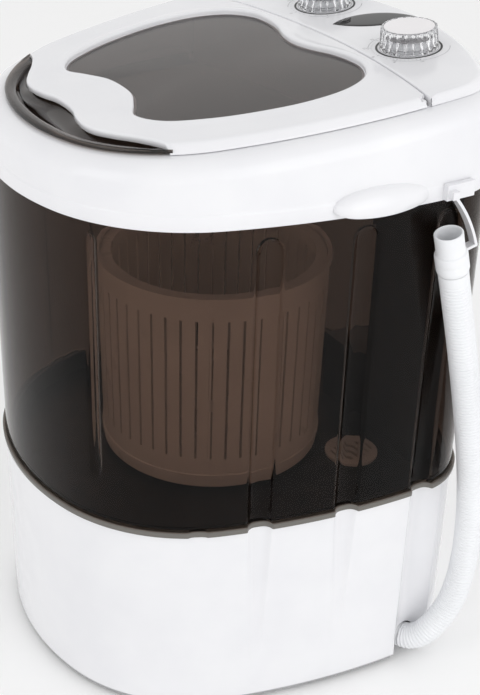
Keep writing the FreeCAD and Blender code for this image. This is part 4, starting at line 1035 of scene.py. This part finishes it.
for metal, dark, light in (("steel", (0.50, 0.50, 0.51), (0.66, 0.66, 0.67)),
                           ("zinc", (0.48, 0.49, 0.50), (0.62, 0.63, 0.64)),
                           ("alu", (0.68, 0.68, 0.69), (0.80, 0.80, 0.81))):
    mat, shader, tree = principled(metal, Metallic=1.0)
    tree.links.new(tint(tree, noise(tree, 50), dark, light), shader.inputs["Base Color"])
    tree.links.new(remap(tree, noise(tree, 400, 4), 0.3, 0.7, 0.22, 0.42), shader.inputs["Roughness"])


def paint(obj, name):
    obj.data.materials.clear()
    obj.data.materials.append(MATERIALS[name])


for obj, name in ((ring, "white_gloss"), (base, "white_gloss"), (lid, "white_gloss"),
                  (panel, "white_gloss"), (tub, "smoked"), (pane, "smoked_lid"),
                  (scoop, "smoked_scoop"), (lens, "smoked_leaf"), (hose, "hose_white"),
                  (cuff, "hose_white")):
    paint(obj, name)
for obj in prints:
    paint(obj, "print")
for node in ("right_hand_grip_lip", "left_hand_grip_lip"):
    paint(bpy.data.objects[node], "white_gloss")
for switch in ("wash", "mode"):
    paint(bpy.data.objects[switch + "_knob_clear"], "clear")
    paint(bpy.data.objects[switch + "_knob_core"], "white_satin")
    paint(bpy.data.objects[switch + "_knob_cap"], "frosted")
for part in frame["record"]["subparts"]:
    node = NODES[part["node"]]
    node.data.materials.clear()
    node.data.materials.append(MATERIALS[part["material_slot"]])

# the frame's own pieces that show get softened edges, widths in millimetres
for node, width in (("hose_hook", 0.7), ("lid_hinge_lugs", 0.3), ("spin_basket", 0.25),
                    ("drain_cover", 0.3)):
    soft = NODES[node].modifiers.new("soft_edges", "BEVEL")
    soft.width = width * MM
    soft.segments = 2
    soft.limit_method = "ANGLE"
    soft.angle_limit = math.radians(40)

# ------------------------------------------------------------------ floor and light
bpy.ops.mesh.primitive_plane_add(size=14, location=(0, 0, 0))
floor = bpy.context.object
floor.name = "studio_floor"
floor_mat, floor_shader, _ = principled("floor")
floor_shader.inputs["Base Color"].default_value = (0.985, 0.985, 0.985, 1)
floor_shader.inputs["Roughness"].default_value = 0.75
floor_shader.inputs["Specular IOR Level"].default_value = 0.1
floor.data.materials.append(floor_mat)

# painted shade: a dark sheet round the machine that only light passing through the smoked plastic can
# see, so the tub looks dark inside
bpy.ops.mesh.primitive_circle_add(vertices=64, radius=2.4, fill_type="NGON", location=(0, 0, 0.0012))
shade_sheet = bpy.context.object
shade_sheet.name = "dark_cloth"
shade_sheet_mat, shade_sheet_shader, _ = principled("shade_sheet")
shade_sheet_shader.inputs["Base Color"].default_value = (0.13, 0.13, 0.13, 1)
shade_sheet_shader.inputs["Roughness"].default_value = 0.9
shade_sheet.data.materials.append(shade_sheet_mat)
shade_sheet.visible_camera = False
shade_sheet.visible_diffuse = False
shade_sheet.visible_glossy = False
shade_sheet.visible_shadow = False

world = bpy.data.worlds.new("studio")
scene.world = world
world.use_nodes = True
wt = world.node_tree
background = wt.nodes["Background"]
coords = wt.nodes.new("ShaderNodeTexCoord")
split = wt.nodes.new("ShaderNodeSeparateXYZ")
wt.links.new(coords.outputs["Generated"], split.inputs["Vector"])
up = remap(wt, split.outputs["Z"], 0.0, 0.9, 1.12, 0.82)
across = remap(wt, split.outputs["X"], -1.0, 1.0, 0.88, 1.06)
both = wt.nodes.new("ShaderNodeMath")
both.operation = "MULTIPLY"
wt.links.new(up, both.inputs[0])
wt.links.new(across, both.inputs[1])
wt.links.new(both.outputs[0], background.inputs["Strength"])
background.inputs["Color"].default_value = (1.0, 1.0, 1.0, 1)


def softbox(name, place, target, width, height, power):
    light = bpy.data.lights.new(name, "AREA")
    light.shape = "RECTANGLE"
    light.size = width
    light.size_y = height
    light.energy = power
    obj = bpy.data.objects.new(name, light)
    obj.location = place
    obj.rotation_euler = (Vector(target) - Vector(place)).to_track_quat("-Z", "Y").to_euler()
    scene.collection.objects.link(obj)


softbox("side_light", (1.6, 0.3, 0.9), (0, 0, 0.3), 1.2, 1.6, 5)
softbox("front_light", (0.2, -2.0, 1.4), (0, 0, 0.3), 1.2, 1.2, 4)
